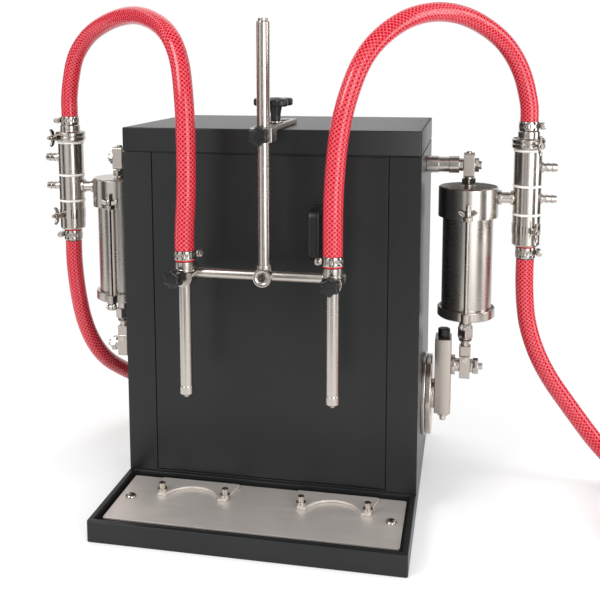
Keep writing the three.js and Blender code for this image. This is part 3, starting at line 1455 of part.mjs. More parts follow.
// A coil on the floor, run clockwise: it closes in a little in each turn, climbs by one layer before it
// meets its own start and lies on itself from there. Its ends run straight for one hose diameter.
function coilAt(x, y, startAngle) {
  const steps = Math.round(coilTurns * coilStepsPerTurn);
  const angleAt = (i) => startAngle - 2 * Math.PI * i / coilStepsPerTurn;
  const points = Array.from({ length: steps + 1 }, (_, i) => {
    const turns = i / coilStepsPerTurn;
    const radius = coilRadius - coilInset * turns;
    const climb = THREE.MathUtils.smoothstep(turns, coilClimbShare, coilLayShare);
    return new THREE.Vector3(x + radius * Math.cos(angleAt(i)), y + radius * Math.sin(angleAt(i)),
      floorZ + coilLayer * climb);
  });
  const heading = (i) => new THREE.Vector3(Math.sin(angleAt(i)), -Math.cos(angleAt(i)), 0);
  const entry = points[0].clone().addScaledVector(heading(0), -hoseDiameter);
  const exit = points[steps].clone().addScaledVector(heading(steps), hoseDiameter);
  return curveThrough([entry, ...points, exit]);
}

// Brings a route in line with the coil that follows it, and stops a gap short of the coil
function routeTo(coil, route) {
  const direction = coil.getTangent(0);
  const ends = [coilLead, gap].map((before) => coil.getPoint(0).addScaledVector(direction, -before));
  return [...route, ...ends.map((end) => end.toArray())];
}

function tubeAlong(curve, steps, sides) {
  const radius = hoseDiameter / 2;
  const section = new THREE.Shape(Array.from({ length: sides }, (_, i) => {
    const angle = 2 * Math.PI * (i + 1 / 2) / sides;
    return new THREE.Vector2(radius * Math.cos(angle), radius * Math.sin(angle));
  }));
  return solidOf(new THREE.ExtrudeGeometry(section, { steps, extrudePath: curve, bevelEnabled: false }));
}

// The least free distance between the turns of a coil
function leastCoilGap(coil) {
  const points = coil.getSpacedPoints(coilStepsPerTurn * 8);
  const away = Math.PI * hoseDiameter;
  const step = coil.getLength() / (points.length - 1);
  let least = Infinity;
  points.forEach((point, i) => {
    for (let j = i + Math.ceil(away / step); j < points.length; j++) {
      least = Math.min(least, point.distanceTo(points[j]) - hoseDiameter);
    }
  });
  return least;
}

function addHose(name, route) {
  const curve = curveThrough(route.map((point) => new THREE.Vector3(...point)));
  const steps = Math.ceil(curve.getLength() / hoseStep);
  addPiece(name, tubeAlong(curve, steps, hoseSides), 'red_hose');
  return curve.getLength();
}

const measuredFrom = (origin) => (point) => point.map((value, axis) => value + origin[axis]);
for (const side of ['right', 'left']) {
  const valveX = side === 'right' ? valveOffset : -valveOffset;
  const rise = outletRises[side].map(measuredFrom([valveX, crankY, outletStart]));
  const fall = outletFalls[side].map(measuredFrom([nozzleX[side], nozzleY, nozzleEnd]));
  addHose(`outlet_hose_${side}`, [...rise, ...fall]);
}

const coils = {
  right: coilAt(rightCoilX, crankY - coilRadius, Math.PI / 2),
  left: coilAt(leftCoilX, leftCoilY, Math.PI),
};
for (const [side, route] of [['right', rightSuctionRoute], ['left', leftSuctionRoute]]) {
  const coil = coils[side];
  const freeLength = addHose(`suction_hose_${side}`, routeTo(coil, route));
  addPiece(`suction_coil_${side}`, tubeAlong(coil, coil.points.length - 1, coilSides), 'red_hose');
  console.log(`${side} suction hose: ${(freeLength + coil.getLength()).toFixed(0)} mm long, ` +
    `least gap in its coil ${leastCoilGap(coil).toFixed(2)} mm`);
}

// The origin is under the middle of the machine, its hoses on the floor left out
machine.position.y = -(trayFront + panelBack + speedKnobHeight) / 2;

export default machine;
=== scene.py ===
"""Looks of a two-head piston filling machine: a charcoal steel cabinet with a stainless piston
pump and valve on each side, two nozzles on an adjustable stand, and clear red braided hoses.

It is laid out as a Blender add-on with one operator for each group of pieces, and is run as a
script. Every surface is worked out with numpy on a grid in millimetres, in the cabinet's own
frame: x from the cabinet's middle, y from its front face towards the back, z from the floor. at()
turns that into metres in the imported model's frame.
"""

import math

import bmesh
import bpy
import numpy as np
from mathutils import Matrix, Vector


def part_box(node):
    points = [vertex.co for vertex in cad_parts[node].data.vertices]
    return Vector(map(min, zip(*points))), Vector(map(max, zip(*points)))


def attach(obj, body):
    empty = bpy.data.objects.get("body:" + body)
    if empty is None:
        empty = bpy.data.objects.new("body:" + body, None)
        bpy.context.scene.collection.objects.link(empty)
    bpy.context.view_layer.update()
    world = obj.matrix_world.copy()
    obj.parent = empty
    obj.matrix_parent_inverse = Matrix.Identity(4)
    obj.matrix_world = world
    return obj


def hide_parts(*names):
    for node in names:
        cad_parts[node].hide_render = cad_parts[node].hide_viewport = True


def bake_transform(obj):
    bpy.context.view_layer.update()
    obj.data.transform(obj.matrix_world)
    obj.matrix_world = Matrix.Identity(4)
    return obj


bl_info = {
    "name": "Piston filling machine looks",
    "version": (1, 0, 0),
    "blender": (4, 5, 0),
    "location": "3D View > Sidebar > Filling machine",
    "description": "Builds the finished surfaces of a filling machine round its CAD frame",
    "category": "Object",
}

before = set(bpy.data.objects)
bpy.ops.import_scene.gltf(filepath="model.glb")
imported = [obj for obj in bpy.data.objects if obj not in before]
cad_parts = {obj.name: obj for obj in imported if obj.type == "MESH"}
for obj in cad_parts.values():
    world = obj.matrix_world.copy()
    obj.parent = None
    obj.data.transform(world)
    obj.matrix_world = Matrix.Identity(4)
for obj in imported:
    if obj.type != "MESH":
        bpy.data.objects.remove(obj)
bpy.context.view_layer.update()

# Places and sizes of the machine, in millimetres in the cabinet's frame, as the CAD model has them
FRAME_SHIFT = 1000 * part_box("cabinet_housing")[0][1]
CRANK_Y, CRANK_Z = 113.0, 101.0
PIN_Z = 139.3
PUMP_X, PIVOT_Z = 219.5, 385.0
TIE_REACH, LUG_REACH = 39.2, 43.7
VALVE_X, PORT_Z = 286.7, 347.0
STAND_X, POST_Y, BAR_Y, BAR_Z = 7.0, -46.0, -44.0, 279.0
NOZZLE_X, NOZZLE_Y = {"left": -77.8, "right": 83.2}, -58.6
KNOB_TURN = {"left": -0.35, "right": 0.0}
HOUSING_TURN = {"left": 0.9, "right": 3.3}
BAND_RADIUS, BAND_SIDES, BAND_SLOTS = 11.7, 192, 24
GAP = 0.3
SIDES = {"right": 1, "left": -1}
TINY = 1e-9

# How surfaces are drawn: the share of a side that a rounded corner may take, the points of a curve
# between two of its stops, distances in metres below which points are one, and angles in degrees
EDGE_SHARE, CORNER_SHARE = 0.42, 0.45
CURVE_POINTS = 40
MERGE, SLIVER, CAD_MERGE = 1e-6, 1e-7, 2e-6
SHARP_ANGLE, HOSE_SHARP_ANGLE, BEVEL_ANGLE, FLAT_ANGLE = 32, 50, 35, 1.0

# The hoses' routes, with the coils that the suction hoses end in: x, y and the angle of the start
OUTLET_ROUTES = {
    "right": [
        (286.7, 113, 437.3), (286.7, 113, 446), (286.2, 113, 455), (284, 112, 467), (278, 109, 489),
        (267, 103, 512), (250, 92, 533), (217, 66, 554), (185, 38, 560), (153, 5, 552),
        (126, -22, 531), (110, -37, 508), (97, -50, 472), (89, -56, 434), (84, -58.6, 375),
        (83.2, -58.6, 322), (83.2, -58.6, 307),
    ],
    "left": [
        (-286.7, 113, 437.3), (-286.7, 113, 446), (-286.5, 113, 460), (-282, 111, 486),
        (-273, 107, 513), (-252, 97, 537), (-218, 78, 554), (-172, 45, 561), (-131, 8, 552),
        (-101, -24, 533), (-87, -38, 508), (-78, -52, 468), (-75, -57, 431), (-75, -58.6, 371),
        (-77.8, -58.6, 320), (-77.8, -58.6, 307),
    ],
}
SUCTION_ROUTES = {
    "right": [
        (286.7, 113, 275), (286.7, 113, 250), (288, 113, 225), (291, 113, 201), (297, 113, 178),
        (307, 113, 153), (321, 113, 128), (338, 113, 104), (355, 113, 81), (372, 113, 59),
        (389, 113, 40.4), (404, 113, 27.8), (421, 113, 18.2), (438, 113, 12.6),
    ],
    "left": [
        (-286.7, 113, 275), (-286.7, 113, 250), (-285, 113, 225), (-282, 113, 200),
        (-277, 114, 172), (-270, 118, 146), (-262, 126, 124), (-254, 139, 106), (-246, 158, 90),
        (-236, 181, 73), (-224, 207, 54), (-210, 233, 36), (-194, 264, 19.5),
    ],
}
COILS = {"right": (490.0, 4.0, math.pi / 2), "left": (-68.0, 362.0, math.pi)}
COIL_RADIUS, COIL_INSET, COIL_TURNS, COIL_STEPS = 109.0, 4.0, 1.6, 24
COIL_LAYER, COIL_CLIMB, COIL_LAY = 21.5, 0.68, 0.9
COIL_LEAD = 14.0
FLOOR_Z = 10.7
SUCTION_SPACING, OUTLET_SPACING = 4.0, 3.0
HOSE_SIDES = 24
BORE, BORE_SEEN = 14.0, 12.0

# How far along an outlet hose each of its lengths hands over to the next, and each short length
# with the long length next to it
OUTLET_SHARES = (0.0, 0.134, 0.379, 0.623, 0.756, 1.0)
SHORT_LENGTHS = {1: 2, 4: 5}


# Settings
def length_setting(name, description, default):
    """A length in millimetres."""
    return bpy.props.FloatProperty(name=name, description=description, default=default, min=0)


def colour_setting(name, description, default):
    """A colour as sRGB hex, such as #303132."""
    return bpy.props.StringProperty(name=name, description=description, default=default)


class HoseSettings(bpy.types.PropertyGroup):
    diameter: length_setting("Diameter", "Outside diameter of the hose, in mm", 21.0)
    braid_pitch: length_setting("Braid pitch", "Length of one diamond of the braid, in mm", 4.9)
    braid_count: bpy.props.IntProperty(
        name="Braid count", description="Diamonds of the braid round the hose", default=12, min=4)
    wall: colour_setting("Wall", "Colour of the hose's wall", "#cb0322")
    thread: colour_setting("Thread", "Colour of the braid's threads", "#ff94a2")
    # The shade colour is painted shade: the hose's dark bore, as it would show through the clear
    # wall between the threads.
    painted_shade_colour: colour_setting("Shade", "Colour between the threads, deep in the wall", "#780010")


class SteelSettings(bpy.types.PropertyGroup):
    bright: colour_setting(
        "Bright steel", "Colour of turned and polished stainless steel", "#c0b9b2")
    satin: colour_setting("Satin steel", "Colour of ground stainless steel", "#bbb3ab")
    sheet: colour_setting("Sheet steel", "Colour of brushed stainless sheet", "#dcd5cf")


class CabinetSettings(bpy.types.PropertyGroup):
    coat: colour_setting("Coat", "Colour of the powder coat", "#191a1b")
    plastic: colour_setting("Plastic", "Colour of the moulded knobs and the handle", "#0f1011")


class StudioSettings(bpy.types.PropertyGroup):
    lens: bpy.props.FloatProperty(
        name="Lens", description="Focal length of the camera", default=53.49, min=10,
        subtype="DISTANCE_CAMERA")
    pitch: bpy.props.FloatProperty(
        name="Pitch", description="How far the camera looks down", default=math.radians(7.29),
        subtype="ANGLE")
    yaw: bpy.props.FloatProperty(
        name="Yaw", description="How far the camera is turned to the left",
        default=math.radians(11.68), subtype="ANGLE")
    floor: colour_setting("Floor", "Colour of the floor", "#fbfbfb")


# Points and grids
def at(points):
    """Millimetres in the cabinet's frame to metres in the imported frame: y moves by the frame's
    shift."""
    return (np.asarray(points, float) + [0.0, FRAME_SHIFT, 0.0]) / 1000


def laid(points, direction, place):
    """Turns points made along z so that they run along the direction, then moves them to their
    place."""
    x, y, z = np.moveaxis(np.asarray(points, float), -1, 0)
    turned_to = {
        "z": (x, y, z),
        "x": (z, y, -x),
        "y": (x, z, -y),
        "-y": (x, -z, y),
    }
    return np.stack(turned_to[direction], axis=-1) + np.asarray(place, float)


def about_z(points, angle):
    """Points turned about the upright axis through the origin."""
    c, s = math.cos(angle), math.sin(angle)
    return np.asarray(points, float) @ np.array([[c, s, 0], [-s, c, 0], [0, 0, 1]])


def set_out(points, direction="z", place=(0, 0, 0), side="right", turn=0.0):
    """Lays points along a direction, turns them about the upright axis and moves them to their
    place, on the right or mirrored to the left."""
    lying = about_z(laid(points, direction, (0, 0, 0)), turn)
    return (lying + np.asarray(place, float)) * [SIDES[side], 1, 1]


def placed(parts, *where):
    """Parts, each a grid with what belongs to it, all set out in the same way."""
    return [(set_out(grid, *where), *rest) for grid, *rest in parts]


def unit(vectors):
    """Vectors brought to a length of one."""
    return vectors / np.maximum(np.linalg.norm(vectors, axis=-1, keepdims=True), TINY)


def run_along(line):
    """How far along a line each of its points is."""
    return np.concatenate([[0], np.cumsum(np.linalg.norm(np.diff(line, axis=0), axis=1))])


def even_angles(count):
    """Angles in even steps round a circle."""
    return 2 * np.pi * np.arange(count) / count


def polar(r, angle):
    """The points (r cos a, r sin a)."""
    return np.stack([r * np.cos(angle), r * np.sin(angle)], axis=-1)


def spun(r, h, sides):
    """A grid of rings round z: the point of radius r and height h at angle a is (r cos a, r sin a,
    h)."""
    angle = even_angles(sides)
    return np.stack([r * np.cos(angle), r * np.sin(angle), h + 0 * angle], axis=-1)


def bow(first, corner, last, steps):
    """The curve (1-t)^2 A + 2t(1-t) P + t^2 B, which leaves A towards P and comes to B from it."""
    t = np.linspace(0, 1, steps + 1)[:, None]
    return (1 - t) ** 2 * first + 2 * t * (1 - t) * corner + t**2 * last


def bows(before, corner, after, reach, share, steps):
    """Each corner P drawn as a bow between A and B, which lie the reach away on its two sides, or
    the share of the shorter side where that is less."""
    to_before, to_after = before - corner, after - corner
    long_before = np.linalg.norm(to_before, axis=1, keepdims=True)
    long_after = np.linalg.norm(to_after, axis=1, keepdims=True)
    reach = np.minimum(reach, share * np.minimum(long_before, long_after))
    first = corner + to_before / np.maximum(long_before, TINY) * reach
    last = corner + to_after / np.maximum(long_after, TINY) * reach
    curve = bow(first[:, None], corner[:, None], last[:, None], steps)
    return curve.reshape(-1, corner.shape[1])


def softened(profile, edge, steps=2):
    """An open profile with its inner corners drawn as bows that reach one edge to each side."""
    p = np.asarray(profile, float)
    return np.vstack([p[:1], bows(p[:-2], p[1:-1], p[2:], edge, EDGE_SHARE, steps), p[-1:]])


def rounded(outline, radius, steps=3):
    """A closed outline with its corners drawn as bows that reach one radius to each side."""
    p = np.asarray(outline, float)
    return bows(np.roll(p, 1, axis=0), p, np.roll(p, -1, axis=0), radius, CORNER_SHARE, steps)


def stepped(*stops, inner=0):
    """The profile of a stepped shaft, from its heights with the radius between each two of them."""
    heights, radii = stops[::2], stops[1::2]
    steps = [(r, h) for r, *ends in zip(radii, heights, heights[1:]) for h in ends]
    return [(inner, heights[0]), *steps, (inner, heights[-1])]


def turned(profile, sides=48, edge=0.5):
    """A turned surface: the softened profile spun round z."""
    line = softened(profile, edge)
    return spun(line[:, :1], line[:, 1:], sides)


def rod(radius, low, high, sides=48, edge=0.4):
    """A turned cylinder with broken rims."""
    return turned(stepped(low, radius, high), sides, edge)


def ring(inner, outer, low, high, sides=64, edge=0.3):
    """A turned ring: the grid of its section, which its part closes."""
    return turned(stepped(low, outer, high, inner=inner), sides, edge)


def threaded(radius, depth, pitch, low, high, sides=32, steps=6):
    """A screw thread: r(a, h) = radius - depth * |2 frac(h / pitch - a / 2 pi) - 1|, closed at both
    ends, where it runs out over one pitch."""
    h = np.linspace(low, high, int((high - low) / pitch * steps) + 2)[:, None]
    wave = np.abs(2 * np.mod(h / pitch - even_angles(sides) / (2 * np.pi), 1) - 1)
    fade = np.clip(np.minimum(h - low, high - h) / pitch, 0, 1)
    grid = spun(radius - depth * (wave * fade + (1 - fade)), h, sides)
    return np.concatenate([grid[:1] * [0, 0, 1], grid, grid[-1:] * [0, 0, 1]])


def prism(outline, low, high, edge=0.5, steps=2):
    """A straight piece: the outline drawn in by edge * (1 - sin t) at its ends and standing at low
    + edge * (1 - cos t), so that its rims are rounded. Its ends close on the outline's middle."""
    p = np.asarray(outline, float)
    along = unit(np.roll(p, -1, axis=0) - np.roll(p, 1, axis=0))
    outward = np.stack([along[:, 1], -along[:, 0]], axis=-1)
    t = np.linspace(0, np.pi / 2, steps + 1)
    inset, rise = edge * (1 - np.sin(t)), edge * (1 - np.cos(t))
    rings = p - outward * np.concatenate([inset, inset[::-1]])[:, None, None]
    height = np.concatenate([low + rise, high - rise[::-1]])[:, None, None]
    grid = np.concatenate([rings, np.broadcast_to(height, (*rings.shape[:2], 1))], axis=-1)
    first, last = (np.broadcast_to([*p.mean(axis=0), z], (1, len(p), 3)) for z in (low, high))
    return np.concatenate([first, grid, last])


def rounded_rectangle(width, height, radius, steps=5):
    """A rectangle's outline with round corners, anticlockwise: four quarter circles one after
    another."""
    angle = np.arange(4)[:, None] * np.pi / 2 + np.linspace(0, np.pi / 2, steps)
    sign_x, sign_y = np.array([1, -1, -1, 1])[:, None], np.array([1, 1, -1, -1])[:, None]
    x = sign_x * (width / 2 - radius) + radius * np.cos(angle)
    y = sign_y * (height / 2 - radius) + radius * np.sin(angle)
    return np.stack([x.ravel(), y.ravel()], axis=-1)


def hexagon(width):
    """A hexagon as wide across its flats as it says, its flats across x, with its corners
    rounded."""
    return rounded(polar(width / math.sqrt(3), np.pi / 2 + np.arange(6) * np.pi / 3), 0.6, 2)


def socket_head(profile, socket, depth, edge=0.4, sides=48):
    """A screw's head with a hexagon socket: the round rings of the softened profile up to its rim,
    then rings of radius (socket / 2) / cos(a mod 60 - 30 degrees) down to the socket's floor."""
    six = socket / 2 / np.cos(np.mod(even_angles(sides), np.pi / 3) - np.pi / 6)
    line = softened(profile, edge)
    top = line[-1, 1]
    r = np.concatenate([line[:, :1] + 0 * six, [six, six, 0 * six]])
    h = np.concatenate([line[:, 1], [top, top - depth, top - depth]])
    return spun(r, h[:, None], sides)


def fluted_knob(radius, lobes, depth, low, high, edge, turn=0.0, count=144):
    """A knob's head: its outline r(a) = radius - depth * (1 - cos(lobes a)) / 2, turned by the
    turn, carried from low to high, with rims rounded by the edge."""
    angle = even_angles(count)
    outline = polar(radius - depth * (1 - np.cos(lobes * angle)) / 2, angle + turn)
    return prism(outline, low, high, edge, 4)


def along_path(section, path, up=(0, 1, 0)):
    """A section carried along a path: the point (u, v) of the section stands at P(s) + u N(s) + v
    B(s), with N and B at right angles to the path and turned as little as can be from point to
    point."""
    path = np.asarray(path, float)
    tangent = unit(np.gradient(path, axis=0))
    normals = [unit(up - tangent[0] * (up @ tangent[0]))]
    for direction in tangent[1:]:
        normals.append(unit(normals[-1] - direction * (normals[-1] @ direction)))
    normal = np.array(normals)
    u, v = (values[None, :, None] for values in np.asarray(section, float).T)
    return path[:, None] + normal[:, None] * u + np.cross(tangent, normal)[:, None] * v


def smooth_line(points, spacing):
    """The centripetal curve through the points, as in the CAD model: between P1 and P2 it blends
    the parabolas of its neighbours with knots spaced by the square root of distance. It is then cut
    into equal lengths of about the spacing."""
    p = np.asarray(points, float)
    p = np.vstack([2 * p[0] - p[1], p, 2 * p[-1] - p[-2]])
    p0, p1, p2, p3 = p[:-3], p[1:-2], p[2:-1], p[3:]
    d0, d1, d2 = (np.sqrt(np.linalg.norm(b - a, axis=1))[:, None]
                  for a, b in ((p0, p1), (p1, p2), (p2, p3)))
    t1 = ((p1 - p0) / d0 - (p2 - p0) / (d0 + d1) + (p2 - p1) / d1) * d1
    t2 = ((p2 - p1) / d1 - (p3 - p1) / (d1 + d2) + (p3 - p2) / d2) * d1
    t = np.linspace(0, 1, CURVE_POINTS, endpoint=False)[None, :, None]
    c2 = -3 * p1 + 3 * p2 - 2 * t1 - t2
    c3 = 2 * p1 - 2 * p2 + t1 + t2
    dense = p1[:, None] + t1[:, None] * t + c2[:, None] * t**2 + c3[:, None] * t**3
    dense = np.vstack([dense.reshape(-1, 3), p2[-1:]])
    run = run_along(dense)
    stops = np.linspace(0, run[-1], int(round(run[-1] / spacing)) + 1)
    return np.stack([np.interp(stops, run, dense[:, axis]) for axis in range(3)], axis=-1)


# Pieces
def new_object(name, data):
    """An object at the origin, in the scene."""
    made = bpy.data.objects.new(name, data)
    bpy.context.scene.collection.objects.link(made)
    return made


def smooth(piece, angle=SHARP_ANGLE):
    """Smooth shading, broken where two faces meet at more than the angle."""
    piece.data.shade_smooth()
    piece.data.set_sharp_from_angle(angle=math.radians(angle))
    return piece


def grid_faces(rows, columns, first=0):
    """Quads between each ring of a grid and the next, the last column joined to the first."""
    i, j = np.meshgrid(np.arange(rows - 1), np.arange(columns), indexing="ij")
    k = (j + 1) % columns
    corners = [i * columns + j, i * columns + k, (i + 1) * columns + k, (i + 1) * columns + j]
    return np.stack(corners, axis=-1).reshape(-1, 4) + first


def parted(name, parts):
    """One object from several shapes, each a grid of rings in millimetres with the key of its
    material and a mark where its last ring joins its first. The end rings of any other are shut
    with a flat face, unless they meet in a point. Doubles are merged, and the faces turned
    outwards."""
    vertices, faces, finish, keys = [], [], [], []
    for grid, key, *closed in parts:
        first = sum(len(block) for block in vertices)
        grid = np.concatenate([grid, grid[:1]]) if closed else grid
        rows, columns = grid.shape[:2]
        made = grid_faces(rows, columns, first).tolist()
        for row in () if closed else (0, rows - 1):
            if np.ptp(grid[row], axis=0).max() > 1e-6:
                made.append(list(range(first + row * columns, first + (row + 1) * columns)))
        if key not in keys:
            keys.append(key)
        vertices.append(at(grid).reshape(-1, 3))
        faces += made
        finish += [keys.index(key)] * len(made)
    mesh = bpy.data.meshes.new(name)
    mesh.from_pydata(np.concatenate(vertices), [], faces)
    for key in keys:
        mesh.materials.append(material_of(key))
    mesh.polygons.foreach_set("material_index", finish)
    shape = bmesh.new()
    shape.from_mesh(mesh)
    bmesh.ops.remove_doubles(shape, verts=shape.verts, dist=MERGE)
    bmesh.ops.dissolve_degenerate(shape, edges=shape.edges, dist=SLIVER)
    bmesh.ops.recalc_face_normals(shape, faces=shape.faces)
    shape.to_mesh(mesh)
    shape.free()
    return smooth(new_object(name, mesh))


def mount(piece, body, slot, *nodes):
    """Lets a piece ride on its body and hides the CAD nodes that it stands for; a piece with no
    modifier gets one that evens its normals. Its slot is not used.
    """
    if not piece.modifiers:
        even = piece.modifiers.new("even_normals", "WEIGHTED_NORMAL")
        even.keep_sharp = True
    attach(piece, body)
    if nodes:
        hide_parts(*nodes)
    return piece


def dress(node, body, parts, slot="stainless"):
    """Makes the finished piece that stands for a CAD node."""
    return mount(parted(f"{node}_finish", parts), body, slot, node)


def carve(node, body, block, cuts, key, slot="stainless"):
    """Makes the finished piece for a CAD node by cutting closed shapes out of a block, exactly."""
    piece = parted(f"{node}_finish", [(block, key)])
    cutters = [parted(f"cutter_{index}", [(grid, key)]) for index, grid in enumerate(cuts)]
    for cutter in cutters:
        cut = piece.modifiers.new("cut", "BOOLEAN")
        cut.operation, cut.solver, cut.object = "DIFFERENCE", "EXACT", cutter
    bpy.context.view_layer.update()
    evaluated = piece.evaluated_get(bpy.context.evaluated_depsgraph_get())
    old = piece.data
    piece.data = bpy.data.meshes.new_from_object(evaluated)
    piece.modifiers.clear()
    bpy.data.meshes.remove(old)
    for cutter in cutters:
        bpy.data.objects.remove(cutter)
    return mount(smooth(piece), body, slot, node)


def dress_as_built(node, body, key, edge, slot="stainless"):
    """Makes the finished piece for a CAD node whose flat shape is right as it is: a copy with its
    loose triangles merged, its flat faces made whole and its edges rounded by a live bevel."""
    piece = new_object(f"{node}_finish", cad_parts[node].data.copy())
    shape = bmesh.new()
    shape.from_mesh(piece.data)
    bmesh.ops.remove_doubles(shape, verts=shape.verts, dist=CAD_MERGE)
    bmesh.ops.dissolve_limit(
        shape, angle_limit=math.radians(FLAT_ANGLE), verts=shape.verts, edges=shape.edges)
    shape.to_mesh(piece.data)
    shape.free()
    if piece.data.has_custom_normals:
        with bpy.context.temp_override(object=piece, active_object=piece):
            bpy.ops.mesh.customdata_custom_splitnormals_clear()
    piece.data.materials.clear()
    piece.data.materials.append(material_of(key))
    bevel = smooth(piece).modifiers.new("edges", "BEVEL")
    bevel.width, bevel.segments, bevel.limit_method = edge / 1000, 2, "ANGLE"
    bevel.angle_limit = math.radians(BEVEL_ANGLE)
    bevel.use_clamp_overlap = False
    bevel.harden_normals = True
    return mount(piece, body, slot, node)


def fill_slots(node, key):
    """Gives a CAD node that stays in view its finished material."""
    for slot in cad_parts[node].material_slots:
        slot.material = material_of(key)


# Materials. Inputs 0 to 4 of a Map Range node are the value, the range it has and the range it
# gets. Inputs 0, 6 and 7 of a Mix node are the factor and the two colours.
NOISE_RANGE = {1: 0.3, 2: 0.7}
WHITE = [1.0, 1.0, 1.0, 1.0]

# Each steel: name, setting of its colour, run of its marks, roughness and how much they change it,
# strength of their bump, and for sheet the grain in mm and the metallic share
STEELS = {
    "turned_z": ("turned_stainless_upright", "bright", "round_z", 0.23, 0.01, 0.02),
    "turned_x": ("turned_stainless_across", "bright", "round_x", 0.23, 0.01, 0.02),
    "turned_y": ("turned_stainless_level", "bright", "round_y", 0.23, 0.01, 0.02),
    "satin_z": ("honed_stainless_tube", "bright", "round_z", 0.26, 0.01, 0.02),
    "polished": ("polished_stainless", "bright", "even", 0.14, 0.02, 0.02),
    "ground": ("ground_stainless", "satin", "along_z", 0.34, 0.07, 0.4),
    "sheet": ("brushed_stainless_sheet", "sheet", "along_x", 0.5, 0.08, 0.8, 0.35, 0.72),
}


def linear(code, share=1.0, more=0.0):
    """An sRGB hex colour to the linear colour that shaders use, times a share and with some
    more."""
    values = [int(code[i:i + 2], 16) / 255 for i in (1, 3, 5)]
    values = [v / 12.92 if v <= 0.04045 else ((v + 0.055) / 1.055) ** 2.4 for v in values]
    return [min(1.0, share * v + more) for v in values] + [1.0]


def add_node(tree, kind, inputs=None, **settings):
    """Adds one node to a tree, with its settings. Each input gets its value, or the socket it comes
    from, or the node whose live output it comes from."""
    made = tree.nodes.new(f"ShaderNode{kind}")
    for key, value in settings.items():
        setattr(made, key, value)
    for socket, value in (inputs or {}).items():
        if isinstance(value, bpy.types.Node):
            value = next(output for output in value.outputs if output.enabled)
        if isinstance(value, bpy.types.NodeSocket):
            tree.links.new(value, made.inputs[socket])
        else:
            made.inputs[socket].default_value = value
    return made


def new_material(name):
    """An empty material, its tree and the object's own coordinates."""
    material = bpy.data.materials.new(name)
    material.use_nodes = True
    material.node_tree.nodes.clear()
    coordinates = add_node(material.node_tree, "TexCoord")
    return material, material.node_tree, coordinates.outputs["Object"]


def shaded(material, inputs):
    """Ends a material in one shader with these inputs."""
    shader = add_node(material.node_tree, "BsdfPrincipled", inputs)
    add_node(material.node_tree, "OutputMaterial", {"Surface": shader})
    return material


def powder_coat():
    """Polyester powder coat on folded sheet steel: an even satin skin with a fine orange-peel
    texture, so that highlights are broad and slightly broken. Its real texture of about 0.4 mm is
    drawn at 1.6 mm, the finest that shows at this distance."""
    coat = bpy.context.scene.filling_cabinet.coat
    material, tree, spot = new_material("powder_coated_steel")
    peel = add_node(tree, "TexNoise", {"Vector": spot, "Scale": 620.0, "Detail": 3.0})
    cloud = add_node(tree, "TexNoise", {"Vector": spot, "Scale": 9.0, "Detail": 4.0})
    mottle = add_node(tree, "MapRange", {0: cloud, **NOISE_RANGE})
    return shaded(material, {
        "Base Color": add_node(
            tree, "Mix", {0: mottle, 6: linear(coat), 7: linear("#1e1f20")}, data_type="RGBA"),
        "Roughness": add_node(tree, "MapRange", {0: peel, **NOISE_RANGE, 3: 0.32, 4: 0.4}),
        "Specular IOR Level": 0.33,
        "Normal": add_node(tree, "Bump", {"Height": peel, "Strength": 0.16, "Distance": 0.0002}),
    })


def steel(name, setting, marks, rough, streak, bump, grain=0.35, metal=1.0):
    """Stainless steel with the marks of its making: fine streaks, drawn about three grains apart
    across their run and stretched sixty times along it. On a turned piece they run round its axis,
    so only the place along the axis counts. The streaks change the gloss a little and the height by
    microns, and handling dulls it in patches of about 40 mm."""
    colour = getattr(bpy.context.scene.filling_steel, setting)
    material, tree, spot = new_material(name)
    across = 1000 / (3 * grain)
    along, around = across / 60, 1.5
    stretch = {
        "round_x": (across, around, around),
        "round_y": (around, across, around),
        "round_z": (around, around, across),
        "along_x": (along, across, across),
        "along_z": (across, across, along),
        "even": (across, across, across),
    }[marks]
    mapping = add_node(tree, "Mapping", {"Vector": spot, "Scale": stretch})
    streaks = add_node(
        tree, "TexNoise", {"Vector": mapping, "Scale": 1.0, "Detail": 3.0, "Roughness": 0.6})
    patches = add_node(tree, "TexNoise", {"Vector": spot, "Scale": 26.0, "Detail": 3.0})
    gloss = add_node(
        tree, "MapRange", {0: streaks, **NOISE_RANGE, 3: rough - streak, 4: rough + streak})
    handled = add_node(tree, "MapRange", {0: patches, 1: 0.35, 2: 0.7, 4: 0.05})
    tone = add_node(tree, "MapRange", {0: streaks, **NOISE_RANGE})
    return shaded(material, {
        "Base Color": add_node(
            tree, "Mix", {0: tone, 6: linear(colour, 0.99 - streak), 7: linear(colour)},
            data_type="RGBA"),
        "Metallic": metal,
        "Roughness": add_node(tree, "Math", {0: gloss, 1: handled}, operation="ADD"),
        "Normal": add_node(
            tree, "Bump", {"Height": streaks, "Strength": bump, "Distance": 0.00006}),
    })


def moulded_plastic(name, colour, rough):
    """Glass-filled nylon and other moulded plastic, with the fine spark-eroded grain of its mould,
    which gives soft grey highlights on every edge. The grain of about 0.2 mm is drawn at 0.9 mm."""
    material, tree, spot = new_material(name)
    grain = add_node(tree, "TexNoise", {"Vector": spot, "Scale": 1100.0, "Detail": 2.0})
    fleck = add_node(tree, "MapRange", {0: grain, 1: 0.4, 2: 0.75})
    return shaded(material, {
        "Base Color": add_node(
            tree, "Mix", {0: fleck, 6: linear(colour), 7: linear(colour, 1.5, 0.004)},
            data_type="RGBA"),
        "Roughness": add_node(
            tree, "MapRange", {0: grain, **NOISE_RANGE, 3: rough - 0.06, 4: rough + 0.06}),
        "Normal": add_node(tree, "Bump", {"Height": grain, "Strength": 0.2, "Distance": 0.0001}),
    })


